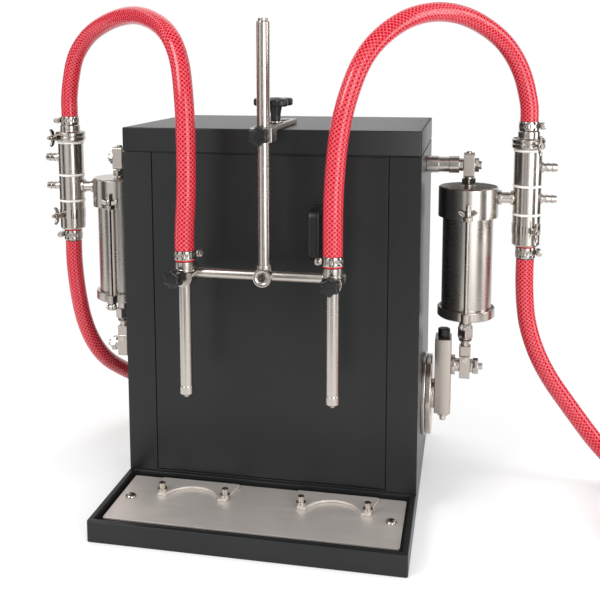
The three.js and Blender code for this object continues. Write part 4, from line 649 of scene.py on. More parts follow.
def skived_ptfe():
    """Virgin PTFE, skived: a waxy white ring between two steel pieces, a little cloudy."""
    material, tree, spot = new_material("skived_ptfe")
    cloud = add_node(tree, "TexNoise", {"Vector": spot, "Scale": 240.0, "Detail": 2.0})
    return shaded(material, {
        "Base Color": add_node(
            tree, "Mix", {0: cloud, 6: linear("#f1eeea"), 7: linear("#e3ded8")}, data_type="RGBA"),
        "Roughness": 0.38,
        "Subsurface Weight": 0.1,
        "Subsurface Scale": 0.002,
    })


def cast_aluminium():
    """Die-cast aluminium, shot-blasted: grey and matt, with a grain of about 1 mm."""
    material, tree, spot = new_material("blasted_cast_aluminium")
    grain = add_node(tree, "TexNoise", {"Vector": spot, "Scale": 900.0, "Detail": 4.0})
    return shaded(material, {
        "Base Color": add_node(
            tree, "Mix", {0: grain, 6: linear("#8d9092"), 7: linear("#a3a5a6")}, data_type="RGBA"),
        "Metallic": 0.85,
        "Roughness": add_node(tree, "MapRange", {0: grain, **NOISE_RANGE, 3: 0.5, 4: 0.68}),
        "Normal": add_node(tree, "Bump", {"Height": grain, "Strength": 0.4, "Distance": 0.0002}),
    })


def braided_pvc():
    """Clear red PVC hose with a polyester braid in its wall, extruded: a glossy smooth skin over
    two families of pale threads that cross in diamonds. The map's u counts diamonds round the hose
    and its v counts them along it, so the threads are the lines where u + v and u - v are whole
    numbers. Each diamond is painted darker towards its middle: painted shade of the hose's dark
    bore, as it would show through the clear wall between the threads."""
    colours = bpy.context.scene.filling_hose
    material, tree, _ = new_material("braided_clear_pvc")
    u, v, _ = add_node(tree, "SeparateXYZ", {0: add_node(tree, "UVMap", uv_map="braid")}).outputs
    families = [add_node(tree, "Math", {0: u, 1: v}, operation=sign)
                for sign in ("ADD", "SUBTRACT")]
    away = [add_node(tree, "Math", {0: run, 1: 0.5}, operation="PINGPONG") for run in families]
    nearest = add_node(tree, "Math", dict(enumerate(away)), operation="MINIMUM")
    thread = add_node(tree, "MapRange", {0: nearest, 1: 0.03, 2: 0.1, 3: 1.0, 4: 0.0})
    # Painted shade: each diamond is darkened towards its middle with the shade colour, standing in
    # for the dark bore seen through the clear wall.
    painted_shade_mask = add_node(tree, "MapRange", {0: nearest, 1: 0.18, 2: 0.4})
    wall = add_node(
        tree, "Mix", {0: painted_shade_mask, 6: linear(colours.wall), 7: linear(colours.painted_shade_colour)}, data_type="RGBA")
    veil = add_node(tree, "Math", {0: thread, 1: 0.5}, operation="MULTIPLY")
    return shaded(material, {
        "Base Color": add_node(
            tree, "Mix", {0: veil, 6: wall, 7: linear(colours.thread)}, data_type="RGBA"),
        "Roughness": 0.24,
        "Specular IOR Level": 0.35,
        "Subsurface Weight": 0.18,
        "Subsurface Radius": (1.0, 0.25, 0.25),
        "Subsurface Scale": 0.004,
        "Coat Weight": 0.45,
        "Coat Roughness": 0.16,
        "Normal": add_node(tree, "Bump", {"Height": thread, "Strength": 0.6, "Distance": 0.0005}),
    })


_materials = {}


def material_of(key):
    """The material of a key, which is made once, when the first piece needs it."""
    if key not in _materials:
        scene = bpy.context.scene
        # The hose's cut end is duller than its skin. The nylon knobs and handle are near black and
        # satin, the switch's ABS is a little glossier, and the printed marks are an even white.
        plastics = {
            "cut_hose": ("cut_red_pvc", scene.filling_hose.wall, 0.35),
            "plastic": ("moulded_nylon", scene.filling_cabinet.plastic, 0.34),
            "rocker": ("moulded_abs_rocker", "#1c1d1f", 0.3),
            "mark": ("pad_printed_white", "#e9e9e6", 0.5),
        }
        others = {
            "coat": powder_coat,
            "ptfe": skived_ptfe,
            "casting": cast_aluminium,
            "hose": braided_pvc,
        }
        if key in STEELS:
            _materials[key] = steel(*STEELS[key])
        elif key in plastics:
            _materials[key] = moulded_plastic(*plastics[key])
        else:
            _materials[key] = others[key]()
    return _materials[key]


# Hoses
def hose_rings(line):
    """The rings of a round hose along a line, all of half its diameter, and how far along each
    is."""
    section = polar(bpy.context.scene.filling_hose.diameter / 2, even_angles(HOSE_SIDES))
    return along_path(section, line), run_along(line)


def hose_piece(name, rings, run):
    """A hose or a length of one. Its map counts the diamonds of the braid round it and along it."""
    settings = bpy.context.scene.filling_hose
    rows, sides = rings.shape[:2]
    mesh = bpy.data.meshes.new(name)
    ends = [list(range(sides))[::-1], list(range((rows - 1) * sides, rows * sides))]
    mesh.from_pydata(at(rings).reshape(-1, 3), [], grid_faces(rows, sides).tolist() + ends)
    i, j = np.meshgrid(np.arange(rows - 1), np.arange(sides), indexing="ij")
    u = np.stack([j, j + 1, j + 1, j], axis=-1) * settings.braid_count / sides
    v = run[np.stack([i, i, i + 1, i + 1], axis=-1)] / settings.braid_pitch
    uv = np.vstack([np.stack([u, v], axis=-1).reshape(-1, 2), np.full((2 * sides, 2), 0.5)])
    mesh.uv_layers.new(name="braid").data.foreach_set("uv", uv.astype(np.float32).ravel())
    mesh.materials.append(material_of("hose"))
    return smooth(new_object(name, mesh), HOSE_SHARP_ANGLE)


def coil_line(side):
    """The points of a coil on the floor: its radius falls by the inset in each turn, and its height
    rises by one layer, as s^2 (3 - 2 s), before it meets its own start. Each end runs straight for
    a diameter."""
    x, y, start = COILS[side]
    i = np.arange(round(COIL_TURNS * COIL_STEPS) + 1)
    angle = start - 2 * np.pi * i / COIL_STEPS
    radius = COIL_RADIUS - COIL_INSET * i / COIL_STEPS
    s = np.clip((i / COIL_STEPS - COIL_CLIMB) / (COIL_LAY - COIL_CLIMB), 0, 1)
    height = FLOOR_Z + COIL_LAYER * s**2 * (3 - 2 * s)
    points = np.stack([x + radius * np.cos(angle), y + radius * np.sin(angle), height], axis=-1)
    heading = np.stack([np.sin(angle), -np.cos(angle), 0 * angle], axis=-1)
    straight = heading * bpy.context.scene.filling_hose.diameter
    return np.vstack([points[:1] - straight[:1], points, points[-1:] + straight[-1:]])


def make_suction_hoses():
    """Each suction hose runs down from its valve and then lies in its coil.
    Two more rings at its far end, at the bore's radius, make the cut face and the mouth of the
    bore."""
    diameter = bpy.context.scene.filling_hose.diameter
    for side in SIDES:
        coil = smooth_line(coil_line(side), SUCTION_SPACING)
        lead = coil[0] - unit(coil[1] - coil[0]) * [[COIL_LEAD], [GAP]]
        free = smooth_line(np.vstack([SUCTION_ROUTES[side], lead]), SUCTION_SPACING)
        line = np.vstack([free, coil])
        rings, run = hose_rings(line)
        mouth = line[-1:] + (rings[-1:] - line[-1:]) * BORE / diameter
        inside = mouth - unit(line[-1] - line[-2]) * BORE_SEEN
        rings = np.concatenate([rings, mouth, inside])
        run_in = np.append(run, [run[-1], run[-1] + BORE_SEEN])
        piece = hose_piece(f"suction_hose_tube_{side}", rings, run_in)
        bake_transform(piece)
        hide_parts(f"suction_hose_{side}", f"suction_coil_{side}")


def make_outlet_hoses():
    """Each outlet hose crosses five joints, so it is made of five lengths, end to end. They are
    cut from the same rings, so each length's end rings lie on its neighbours' end rings."""
    for side in SIDES:
        line = smooth_line(OUTLET_ROUTES[side], OUTLET_SPACING)
        rings, run = hose_rings(line)
        stops = [round(share * (len(line) - 1)) for share in OUTLET_SHARES]
        lengths = {}
        for index, (low, high) in enumerate(zip(stops, stops[1:])):
            piece = hose_piece(f"outlet_hose_{side}_length_{index + 1}",
                               rings[low:high + 1], run[low:high + 1])
            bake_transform(piece)
            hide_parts(f"outlet_hose_{side}")
            lengths[index + 1] = piece
        for index, piece in lengths.items():
            if index in SHORT_LENGTHS:
                continue
            low, high = stops[index - 1], stops[index]


# Fittings that several pieces have
def wing_nut(bottom):
    """A wing nut along z: a conical hub and two ears, each ear a curved outline given its
    thickness."""
    hub = turned([[0, bottom], [3.8, bottom], [3.8, bottom + 4.7], [2.9, bottom + 7],
                  [0, bottom + 7]], 32, 0.5)
    rise = bow([5.4, 0.2], np.array([11.3, 2.0]), [11.5, 6.2], 8)
    back = [[10.8, 7.2], [9.0, 7.0], [4.6, 4.8], [1, 4.4]]
    ear = rounded(np.vstack([[[1, 0.2]], rise, back]), 0.9, 2)
    flat = laid(prism(ear, -1.3, 1.3, 0.6), "-y", (0, 0, bottom))
    return [(shape, "polished") for shape in (hub, flat, flat * [-1, 1, 1])]


def worm_band(radius, low, height):
    """A worm-drive hose band round z. The strip's surface is r(a, h) = radius - 0.3 s(a) in the
    middle of its height, where s is 1 in each pressed slot, and beside it stands the housing of its
    screw. Its slots of 2.5 mm are drawn at 3 mm."""
    slot = np.clip(2.2 * np.cos(BAND_SLOTS * even_angles(BAND_SIDES)) + 0.4, 0, 1)
    proud, share, pressed = np.array([
        (-0.9, 0, 0), (-0.25, 0, 0), (0, 0.06, 0), (0, 0.27, 0), (0, 0.33, -0.3),
        (0, 0.67, -0.3), (0, 0.73, 0), (0, 0.94, 0), (-0.25, 1, 0), (-0.9, 1, 0)]).T[..., None]
    strip = spun(radius + proud + pressed * slot, low + share * height, BAND_SIDES)
    housing = [prism(rounded_rectangle(7.6, 7.6, 2.6), -6.0, 6.0, 0.7),
               prism(hexagon(6.2), -9.3, -5.8, 0.5),
               rod(2.2, -9.9, -9, 24, 0.3), rod(2.1, 5.9, 8.0, 24, 0.4)]
    beside = (radius + 3.6, 0, low + height / 2)
    housing = placed([(shape, "polished") for shape in housing], "y", beside)
    return [(strip, "polished", True), *housing]


def star_knob(node, body, diameter, thickness, stud, shank, place, turn=0.0):
    """A star knob with its stud: a lobed head with a raised round hub in front, and its stud
    behind."""
    place = np.asarray(place, float) + about_z([0, -shank - GAP, 0], turn)
    front = [fluted_knob(diameter / 2, 6, 2.0, 0, thickness, 2.2, math.pi / 2),
             rod(0.28 * diameter, 1, thickness + 1.2, 64, 1.0),
             rod(0.2 * diameter, thickness + 1, thickness + 1.5, 48, 0.3),
             turned([[0, 0.5], [0.3 * diameter, 0.5], [0.27 * diameter, -1.6], [0, -1.6]], 48, 0.4)]
    screw = threaded(stud / 2, 0.4, 1.25, 1.0, shank + GAP)
    dress(node, body, [
        *placed([(shape, "plastic") for shape in front], "-y", place, "right", turn),
        *placed([(screw, "polished")], "y", place, "right", turn)], "black_plastic")


# Cabinet
def make_handle():
    """A bow handle: a rounded section carried along a path with round corners, out of the panel and
    back."""
    x, middle, half, reach = 56.0, 320.0, 24.2, 19.6
    y = -GAP
    legs = softened([[y, middle - half], [y - reach, middle - half], [y - reach, middle + half],
                     [y, middle + half]], 9.0, 10)
    path = np.insert(legs, 0, x, axis=1)
    grip = along_path(rounded_rectangle(12.6, 8.6, 3.4, 7), path, (1, 0, 0))
    foot = prism(rounded_rectangle(13, 10.4, 3.0, 6), 0, 3.2, 1.0, 3)
    feet = [laid(foot, "-y", (x, y, middle + sign * half)) for sign in (-1, 1)]
    dress("panel_handle", "cabinet", [(shape, "plastic") for shape in (grip, *feet)],
          "black_plastic")


def make_inlet():
    """The inlet keeps its moulded CAD form, with rounded edges, and gets its three flat pins."""
    dress_as_built("power_inlet", "cabinet", "plastic", 0.5, "black_plastic")
    blade = prism(rounded_rectangle(2, 4, 0.5, 3), 0, 12.6, 0.7)
    pins = [(laid(blade, "y", (95 + x, 219.1, 56 + z)), "polished")
            for x, z in ((-7, -2), (7, -2), (0, 2))]
    mount(parted("inlet_pins", pins), "cabinet", "stainless")


def make_rocker():
    """The rocker is a dished disc, tilted about its pivot: y(z) = c - sqrt(R^2 - z^2) across its
    face. Its marks, a stroke and a ring, are printed on the dish."""
    radius, dish, tilt = 8.5, 16.0, math.radians(9.0)
    place = np.array([95.0, 228.9, 87.0])
    centre = radius + dish - 1.6
    z = np.linspace(-7.6, 7.6, 25)
    face = np.stack([z, centre - np.sqrt(dish**2 - z**2)], axis=-1)
    back = 0.9 * radius * np.sin(np.linspace(1.25, -1.25, 13)[1:-1])
    outline = rounded(np.vstack([face, np.insert(back[:, None], 1, -2.35, axis=1)]), 0.5, 2)
    body = prism(outline, -8.6, 8.6, 0.5, 3)

    def tipped(points):
        """From (z, y, x) in the rocker's own frame to its tilted place."""
        up, out, across = np.moveaxis(points, -1, 0)
        c, s = math.cos(tilt), math.sin(tilt)
        return np.stack([across, out * c - up * s, out * s + up * c], axis=-1) + place

    def printed(line, width):
        """A stroke of print that follows the dish, 0.1 mm thick, as four rings round its line."""
        way = unit(np.gradient(line, axis=0))
        aside = np.stack([-way[:, 1], way[:, 0]], axis=-1) * width / 2
        rims = []
        for edge, proud in ((aside, 0.12), (-aside, 0.12), (-aside, -0.2), (aside, -0.2)):
            across, up = (line + edge).T
            rims.append(np.stack([up, centre - np.sqrt(dish**2 - up**2) + proud, across], axis=-1))
        return np.stack(rims, axis=1)

    circle = printed(polar(1.6, even_angles(32)) + [0, -4.4], 0.5)
    stroke = printed(np.insert(np.linspace(2.8, 6.2, 7)[:, None], 0, 0, axis=1), 0.55)
    dress("power_rocker", "rocker", [
        (tipped(body), "rocker"), (tipped(circle), "mark", True), (tipped(stroke), "mark")],
        "black_plastic")


def make_speed_knob():
    """A fluted knob with a pointer line, over a printed ring of eleven ticks on the back panel."""
    x, panel, z = 35.0, 232.14, 70.0
    skirt = turned([[0, 0], [12, 0], [12, 2.2], [11.2, 3.2], [0, 3.2]], 72, 0.5)
    head = fluted_knob(10.6, 8, 0.9, 3.0, 12.0, 1.2)
    pointer = prism(rounded_rectangle(0.9, 7.0, 0.3, 3) - [0, 5.4], 11.6, 12.1, 0.1)
    parts = [(skirt, "plastic"), (head, "plastic"), (pointer, "mark")]
    dress("speed_knob", "speed_dial", placed(parts, "y", (x, 232.3, z)), "black_plastic")
    ticks = []
    for step in range(11):
        long = 2.6 if step % 5 else 3.8
        bar = prism(rounded_rectangle(0.7, long, 0.2, 2) + [0, 15.6], 0, 0.12, 0.03, 1)
        ticks.append((about_z(bar, math.radians(-135 + 27 * step)), "mark"))
    printed = parted("speed_dial_ticks", placed(ticks, "-y", (x, panel, z)))
    mount(printed, "cabinet", "black_plastic")


def make_nest(side):
    """A fork that wraps the back of a container's foot: its outline has a round mouth, where
    x^2 + y^2 = 32^2, and on each side a boss with a socket-headed pin."""
    x = NOZZLE_X[side]
    mouth = polar(32.0, np.linspace(math.pi - 0.285, 0.285, 49))
    wings = [[41, 9], [41, 22.5], [47, 47], [-47, 47], [-41, 22.5], [-41, 9]]
    fork = prism(np.vstack([rounded(wings, 3.0, 4), mouth]), 19.3, 22.3, 0.4)[1:-1]
    boss = rod(5.5, 19.7, 24.8, 48, 0.5)
    head = socket_head([[0, 24.8], [3.75, 24.8], [3.75, 31.3], [2.3, 31.3]], 3.2, 2.6)
    parts = placed([(fork, "sheet")], "z", (x, NOZZLE_Y, 0))
    for pin in (-37.0, 37.0):
        parts += placed([(boss, "turned_z"), (head, "turned_z")], "z", (x + pin, NOZZLE_Y + 17, 0))
    dress(f"nest_{side}", "cabinet", parts)


def make_plate_screw(side):
    """A domed screw with a hexagon socket: its crown is (6 cos t, 3.6 sin t)."""
    crown = polar(1, np.linspace(0, 1.15, 9)) * [6, 3.6] + [0, 19.3]
    head = socket_head(np.vstack([[[0, 19.3]], crown]), 4.0, 2.4, 0.15)
    parts = [(head, "polished"), (rod(3.0, 8.0, 19.4, 24), "polished")]
    dress(f"plate_screw_{side}", "cabinet", placed(parts, "z", (147, -57, 0), side))


def make_tray():
    """The tray: a block with rounded rims, out of which come the plate's pocket, the hollow
    underneath and the two screw holes. The pocket's rim widens by e - sqrt(e^2 - h^2) over its last
    e of height."""
    depth, height, rim = 126.2, 24, 0.9
    block = prism(rounded_rectangle(340, depth, 2.4), 0, height, 1.1, 3) + [0, -GAP - depth / 2, 0]
    rise = np.linspace(0, rim, 5)
    widened = rim - np.sqrt(np.maximum(rim**2 - rise**2, 0))
    pocket = np.stack([
        np.insert(rounded_rectangle(328 + 2 * wide, 118.2 + 2 * wide, 2 + wide), 2, z, axis=1)
        for z, wide in [(16.7, 0), *zip(height - rim + rise, widened), (30, rim)]])
    hollow = prism(rounded_rectangle(328, 114.2, 2), -6, 10, 0.01)
    holes = [rod(3.4, 5, 20, 32, 0.01) + [147 * sign, -57, 0] for sign in (1, -1)]
    carve("base_tray", "cabinet", block, (pocket + [0, -61.4, 0], hollow + [0, -63.4, 0], *holes),
          "coat", "black_steel")


def make_cabinet():
    """The cabinet's sheet pieces, and everything that is fixed to them."""
    for node, edge in (("cabinet_housing", 0.5), ("top_cover", 0.6), ("front_panel", 0.7),
                       ("back_panel", 0.5)):
        dress_as_built(node, "cabinet", "coat", edge, "black_steel")
    dress_as_built("filling_plate", "cabinet", "sheet", 0.3, "brushed_plate")
    make_tray()
    make_handle()
    make_inlet()
    make_rocker()
    make_speed_knob()
    for side in SIDES:
        make_nest(side)
        make_plate_screw(side)
    fill_slots("gear_motor", "casting")


# Stand
def make_stand():
    """The rail with its knob, the post, the cross bar and the post's knob."""
    dress_as_built("stand_bar", "stand", "ground", 0.5)
    make_rail_knob()
    post = turned([[0, 286.6], [7, 286.6], [7, 548], [6.2, 549], [5.25, 549], [5.25, 552],
                   [0, 552]], 96, 0.4)
    dress("stand_post", "post", placed([(post, "turned_z")], "z", (STAND_X, POST_Y, 0)))
    make_cross_bar()
    star_knob("post_knob", "post_clamp", 22, 12, 8, 7.7, (STAND_X, -53, 431.3))


def make_rail_knob():
    """A three-lobed clamping knob on its stem and washer: the lobes are r(a) = 25 - 6.5 (1 - cos
    3a)."""
    head = fluted_knob(25, 3, 13, 458.1, 466.6, 2.6, math.pi, 192)
    crown = turned([[0, 466], [7, 466], [6.4, 467.4], [0, 467.4]], 64, 0.5)
    stem = turned([[0, 441], [5.5, 441], [5.5, 447], [6.2, 452], [7.4, 458.6], [0, 458.6]], 64, 0.8)
    parts = [(head, "plastic"), (crown, "plastic"), (stem, "plastic"),
             (rod(8, 439.6, 441.1, 64, 0.3), "turned_z"),
             (threaded(4, 0.45, 1.25, 427.3, 440.0), "polished")]
    dress("rail_knob", "rail_clamp", placed(parts, "z", (STAND_X, 14.0, 0)), "black_plastic")


def make_cross_bar():
    """The bar, the boss across it with a ringed socket screw in its front, and the collar of the
    post."""
    bar = rod(6, -85.8, 91.2, 64, 0.8)
    boss = turned([[0, 1.4], [5.6, 1.4], [5.6, 1.0], [7.4, 0.0], [10, 0], [10, 24], [0, 24]],
                  72, 0.7)
    screw = socket_head([[0, 1.2], [4.9, 1.2], [4.9, -0.4], [3.2, -0.4]], 3.6, -1.4)
    collar = rod(9, 280, 292, 72, 0.9)
    dress("cross_bar", "post", [
        *placed([(bar, "turned_x")], "x", (0, BAR_Y, BAR_Z)),
        *placed([(boss, "turned_y"), (screw, "polished")], "y", (STAND_X, -58.0, BAR_Z)),
        *placed([(collar, "turned_z")], "z", (STAND_X, POST_Y, 0))])


# Nozzles
def make_clamp(side):
    """A short cylinder across the bar, bored for the bar and the nozzle, with a flat seat for the
    collar."""
    x = NOZZLE_X[side]
    node = f"nozzle_clamp_{side}"
    block = laid(rod(11, -69.2, -34, 96, 0.9), "y", (x, 0, BAR_Z))
    seat = prism(rounded_rectangle(30, 40, 0.5), 283.7, 300, 0.01) + [x, -67.8, 0]
    tube = rod(7.1, 260, 300, 64, 0.01) + [x, NOZZLE_Y, 0]
    hole = laid(rod(6.3, -20, 20, 64, 0.01), "x", (x, BAR_Y, BAR_Z))
    carve(node, node, block, (seat, tube, hole), "turned_y")


def make_nozzle(side):
    """Tip, sleeve, tube, collar and neck in one turned profile on its bore, with the hose's cut end
    and its band on top."""
    place = (NOZZLE_X[side], NOZZLE_Y, 0)
    body = turned([
        [2, 143], [2.7, 143], [3.2, 144.4], [3.2, 146], [6.4, 146], [7.3, 147], [7.3, 155.2],
        [6.8, 156], [6.8, 284], [10.5, 284], [10.5, 286.4], [10.1, 286.8], [10.1, 287.6],
        [10.5, 288], [10.5, 294.6], [7.5, 294.6], [7.5, 297], [10.6, 297], [10.6, 306.6],
        [2, 306.6]], 72, 0.35)
    hose_end = ring(7.6, 10.4, 295.3, 297.2)
    dress(f"nozzle_{side}", f"nozzle_{side}", [
        *placed([(body, "turned_z", True), (hose_end, "cut_hose", True)], "z", place),
        *placed(worm_band(BAND_RADIUS, 297.1, 9.5), "z", place, "right", HOUSING_TURN[side])])


def make_nozzles():
    """Each nozzle with its clamp and its clamping knob."""
    for side in SIDES:
        make_clamp(side)
        make_nozzle(side)
        knob, turn = f"nozzle_knob_{side}", KNOB_TURN[side]
        seat = about_z([0, -6.8, 0], turn) + (NOZZLE_X[side], NOZZLE_Y, BAR_Z)
        star_knob(knob, knob, 21, 11, 6, 7.1, seat, turn)


# Cranks
def make_crank_side(side):
    """The flanged bearing and the disc, which are turned faces with a broken rim and a fine raised
    step, the stroke adjuster with its slider, and the adjuster's screw with its nut and knob."""
    place = (0, CRANK_Y, CRANK_Z)
    bearing = turned([[10.3, 150], [24, 150], [24, 170.3], [50, 170.3], [50, 173.4], [49.1, 174.3],
                      [20, 174.3], [19.4, 173.9], [10.3, 173.9]], 96, 0.3)
    disc = turned([[10.3, 175], [48.5, 175], [48.5, 180], [47.5, 181], [41, 181], [40.6, 180.7],
                   [40, 181], [18, 181], [18, 183.7], [0, 183.7], [0, 180.8], [10.3, 180.8]],
                  128, 0.3)
    for node, body, shape in (("crank_bearing", "cabinet", bearing), ("crank_disc", "crank", disc)):
        dress(f"{node}_{side}", body, placed([(shape, "turned_x", True)], "x", place, side))
    dress_as_built(f"stroke_adjuster_{side}", "crank", "ground", 0.7)
    dress_as_built(f"crank_slider_{side}", f"crank_slider_{side}", "ground", 0.3)
    parts = [(threaded(4, 0.45, 1.6, 68.7, 174.6, 24, 4), "polished"),
             (prism(hexagon(12.5), 74.7, 80.7, 0.6), "polished"),
             (fluted_knob(7.3, 6, 0.5, 174.3, 184.5, 0.9), "plastic"),
             (rod(4.6, 184.2, 184.9, 48, 0.3), "plastic")]
    dress(f"adjuster_screw_{side}", f"adjuster_screw_{side}",
          placed(parts, "z", (194.25, CRANK_Y, 0), side))


def make_cranks():
    """Both ends of the crank, and the finish of the shaft between them."""
    for side in SIDES:
        make_crank_side(side)
    fill_slots("crank_shaft", "turned_x")


# Pumps
def make_pivot(side):
    """The pivot shaft with its turned steps, its neck and pin, and the hexagon nut at its end."""
    shaft = stepped(150, 8, 170.3, 10, 184.3, 9, 196.3, 10, 208.1, 7.5, 212.8, 5, 233.9)
    parts = [(turned(shaft, 72, 0.4), "turned_x"),
             (prism(hexagon(15.4), 226.3, 231, 0.7), "polished"),
             (rod(8.4, 225.9, 226.6, 48, 0.2), "polished")]
    dress(f"pivot_shaft_{side}", "cabinet", placed(parts, "x", (0, CRANK_Y, PIVOT_Z), side))


def tie_lugs(low, high, inner):
    """A lug on each side of a round piece, its outer end rounded about the tie rod."""
    length = LUG_REACH - inner
    lug = prism(rounded_rectangle(11, length, 4.6, 7), low, high) + [0, inner + length / 2, 0]
    return {sign: (lug * [1, sign, 1], "ground") for sign in (1, -1)}


def swing_pivot():
    """The foot of a swing bolt under its lug: two cheeks, the bolt's round eye between them and its
    pin. All of them lie across, with the height as their first coordinate."""
    cheek = rounded([[-203.6, -4.2], [-195.0, -3.4], [-195.0, 3.4], [-203.6, 4.2]], 2.6, 4)
    cheeks = [(prism(cheek, low, low + 2, 0.4), "polished") for low in (-5.2, 3.2)]
    pin = turned(stepped(-6.6, 2.6, -5.4, 1.7, 5.4, 2.6, 6.6), 32, 0.3)
    eye = [(rod(4.2, -2.4, 2.4, 40, 0.5), "turned_x"), (pin, "polished")]
    return [*placed(cheeks, "x"), *placed(eye, "x", (0, 0, 198.6))]


def make_pump(side):
    """Pump head, barrel and base, all turned on one upright axis, held by two tie rods with wing
    nuts."""
    body, where = f"pump_{side}", ("z", (PUMP_X, CRANK_Y, 0), side)
    cap = turned([[0, 348], [26, 348], [26, 335.3], [29.9, 335.3], [29.9, 324], [35, 324],
                  [35, 358.4], [33.4, 360], [8, 360], [7.6, 359.6], [0, 359.6]], 128, 0.35)
    yoke = prism(rounded_rectangle(28, 20, 2.4, 6), 213.1 - PUMP_X, 225.9 - PUMP_X, 0.6)
    grub = socket_head([[0, 398.5], [3.2, 398.5], [3.2, 401], [1.9, 401]], 2.6, 1.6, 0.3)
    dress(f"pump_head_{side}", body, placed([
        (cap, "turned_z"), (rod(5, 359, 372, 48, 0.3), "turned_z"),
        (prism(hexagon(16), 362, 369, 0.9), "polished"),
        (laid(yoke, "x", (0, 0, PIVOT_Z)), "ground"), (grub, "polished"),
        *tie_lugs(324, 329, 32.5).values()], *where))

    barrel = ring(26, 29.5, 208.3, 335, 128, 0.2)
    dress(f"pump_barrel_{side}", body, placed([(barrel, "satin_z", True)], *where))

    flange = turned([[5.3, 188], [7.5, 188], [7.5, 202], [32.4, 202], [34, 203.6], [34, 213.2],
                     [33.2, 214], [29.9, 214], [29.9, 208], [5.3, 208]], 128, 0.35)
    foot = turned([[0, 170], [7.0, 170], [7.7, 171], [7.7, 174.3], [6.8, 174.9], [6.8, 175.4],
                   [0, 175.4]], 64, 0.4)
    parts = [(flange, "turned_z", True), (prism(hexagon(17.7), 175, 188.2, 1.1, 3), "polished"),
             (foot, "turned_z"), (ring(6.7, 7.9, 171.6, 173.6, 64, 0.6), "plastic", True)]
    for sign, lug in tie_lugs(203.6, 214, 31.5).items():
        tie = [(rod(2.5, 199, 322, 32), "turned_z"),
               (threaded(2.5, 0.3, 1.2, 321, 343, 24, 4), "polished"),
               *swing_pivot(), *wing_nut(329.3)]
        parts += [lug, *placed(tie, "z", (0, sign * TIE_REACH, 0))]
    dress(f"pump_base_{side}", body, placed(parts, *where))


def make_plunger(side):
    """The piston with its rod, and the rod end: clevis, block and crank pin with its washers and
    nut."""
    piston = turned(stepped(156.8, 5, 327, 25.6, 335, 24.6, 337, 25.6, 345), 72, 0.3)
    clevis = prism(rounded_rectangle(13.5, 13.5, 1.8, 5), 152.2, 164.5, 0.7)
    block = prism(rounded_rectangle(28.2, 17, 2.0, 6), -6.3, 6.3, 0.6)
    pin = turned([[0, 203.8], [12, 203.8], [12, 208.2], [8, 208.2], [8, 212.6], [7.2, 213.2],
                  [7.2, 225.8], [8.2, 225.9], [8.2, 228.8], [4, 228.8], [4, 240.8], [0, 240.8]], 72)
    across = [(pin, "turned_x"), (prism(hexagon(17), 228.7, 235.8, 0.9), "polished"),
              (threaded(4.0, 0.4, 1.25, 235.5, 240.8, 32, 5), "polished")]
    upright = ("z", (PUMP_X, CRANK_Y, 0), side)
    dress(f"piston_{side}", f"plunger_{side}", placed([(piston, "turned_z")], *upright))
    dress(f"rod_end_{side}", f"plunger_{side}", [
        *placed([(clevis, "ground")], *upright),
        *placed([(block, "ground")], "x", (PUMP_X, CRANK_Y, 138.9), side),
        *placed([(rod(3.4, -9.2, -8.2), "turned_y")], "y", (PUMP_X, CRANK_Y, 148.0), side),
        *placed(across, "x", (0, CRANK_Y, PIN_Z), side)])


def make_pumps():
    """Each pump with its pivot and its plunger."""
    for side in SIDES:
        make_pivot(side)
        make_pump(side)
        make_plunger(side)


# Valves
def barb(radius, z):
    """A barbed connection out of the valve's side: the profile's ridges rise to the radius and fall
    away."""
    neck, root, end = 0.84 * radius, 16.0, 33.3
    pitch = (end - root) / 3
    line = [[0, 15.0], [radius + 0.9, 15.0], [radius + 0.9, 17.4], [neck, 17.4]]
    for ridge in (root + pitch, root + 2 * pitch):
        line += [[neck, ridge - 0.6], [radius, ridge], [neck, ridge + 0.8 * pitch]]
    line += [[neck, end], [0, end]]
    return laid(turned(line, 48, 0.3), "x", (0, 0, z)), "turned_x"


def clip_lug(radius, z):
    """A ring clip's lug, with its bolt and a wing nut that lies along it."""
    lug = prism(rounded_rectangle(8, 8, 2.0, 5), -1.0, 9.0, 0.7)
    bolt = threaded(2.4, 0.3, 1.2, 6.0, 19.5, 24, 4)
    nut = [(about_z(shape, math.pi / 2), key) for shape, key in wing_nut(9.0)]
    parts = placed([(lug, "polished"), (bolt, "polished"), *nut], "-y", (0, -radius, z))
    return [(about_z(shape, 0.35), key) for shape, key in parts]


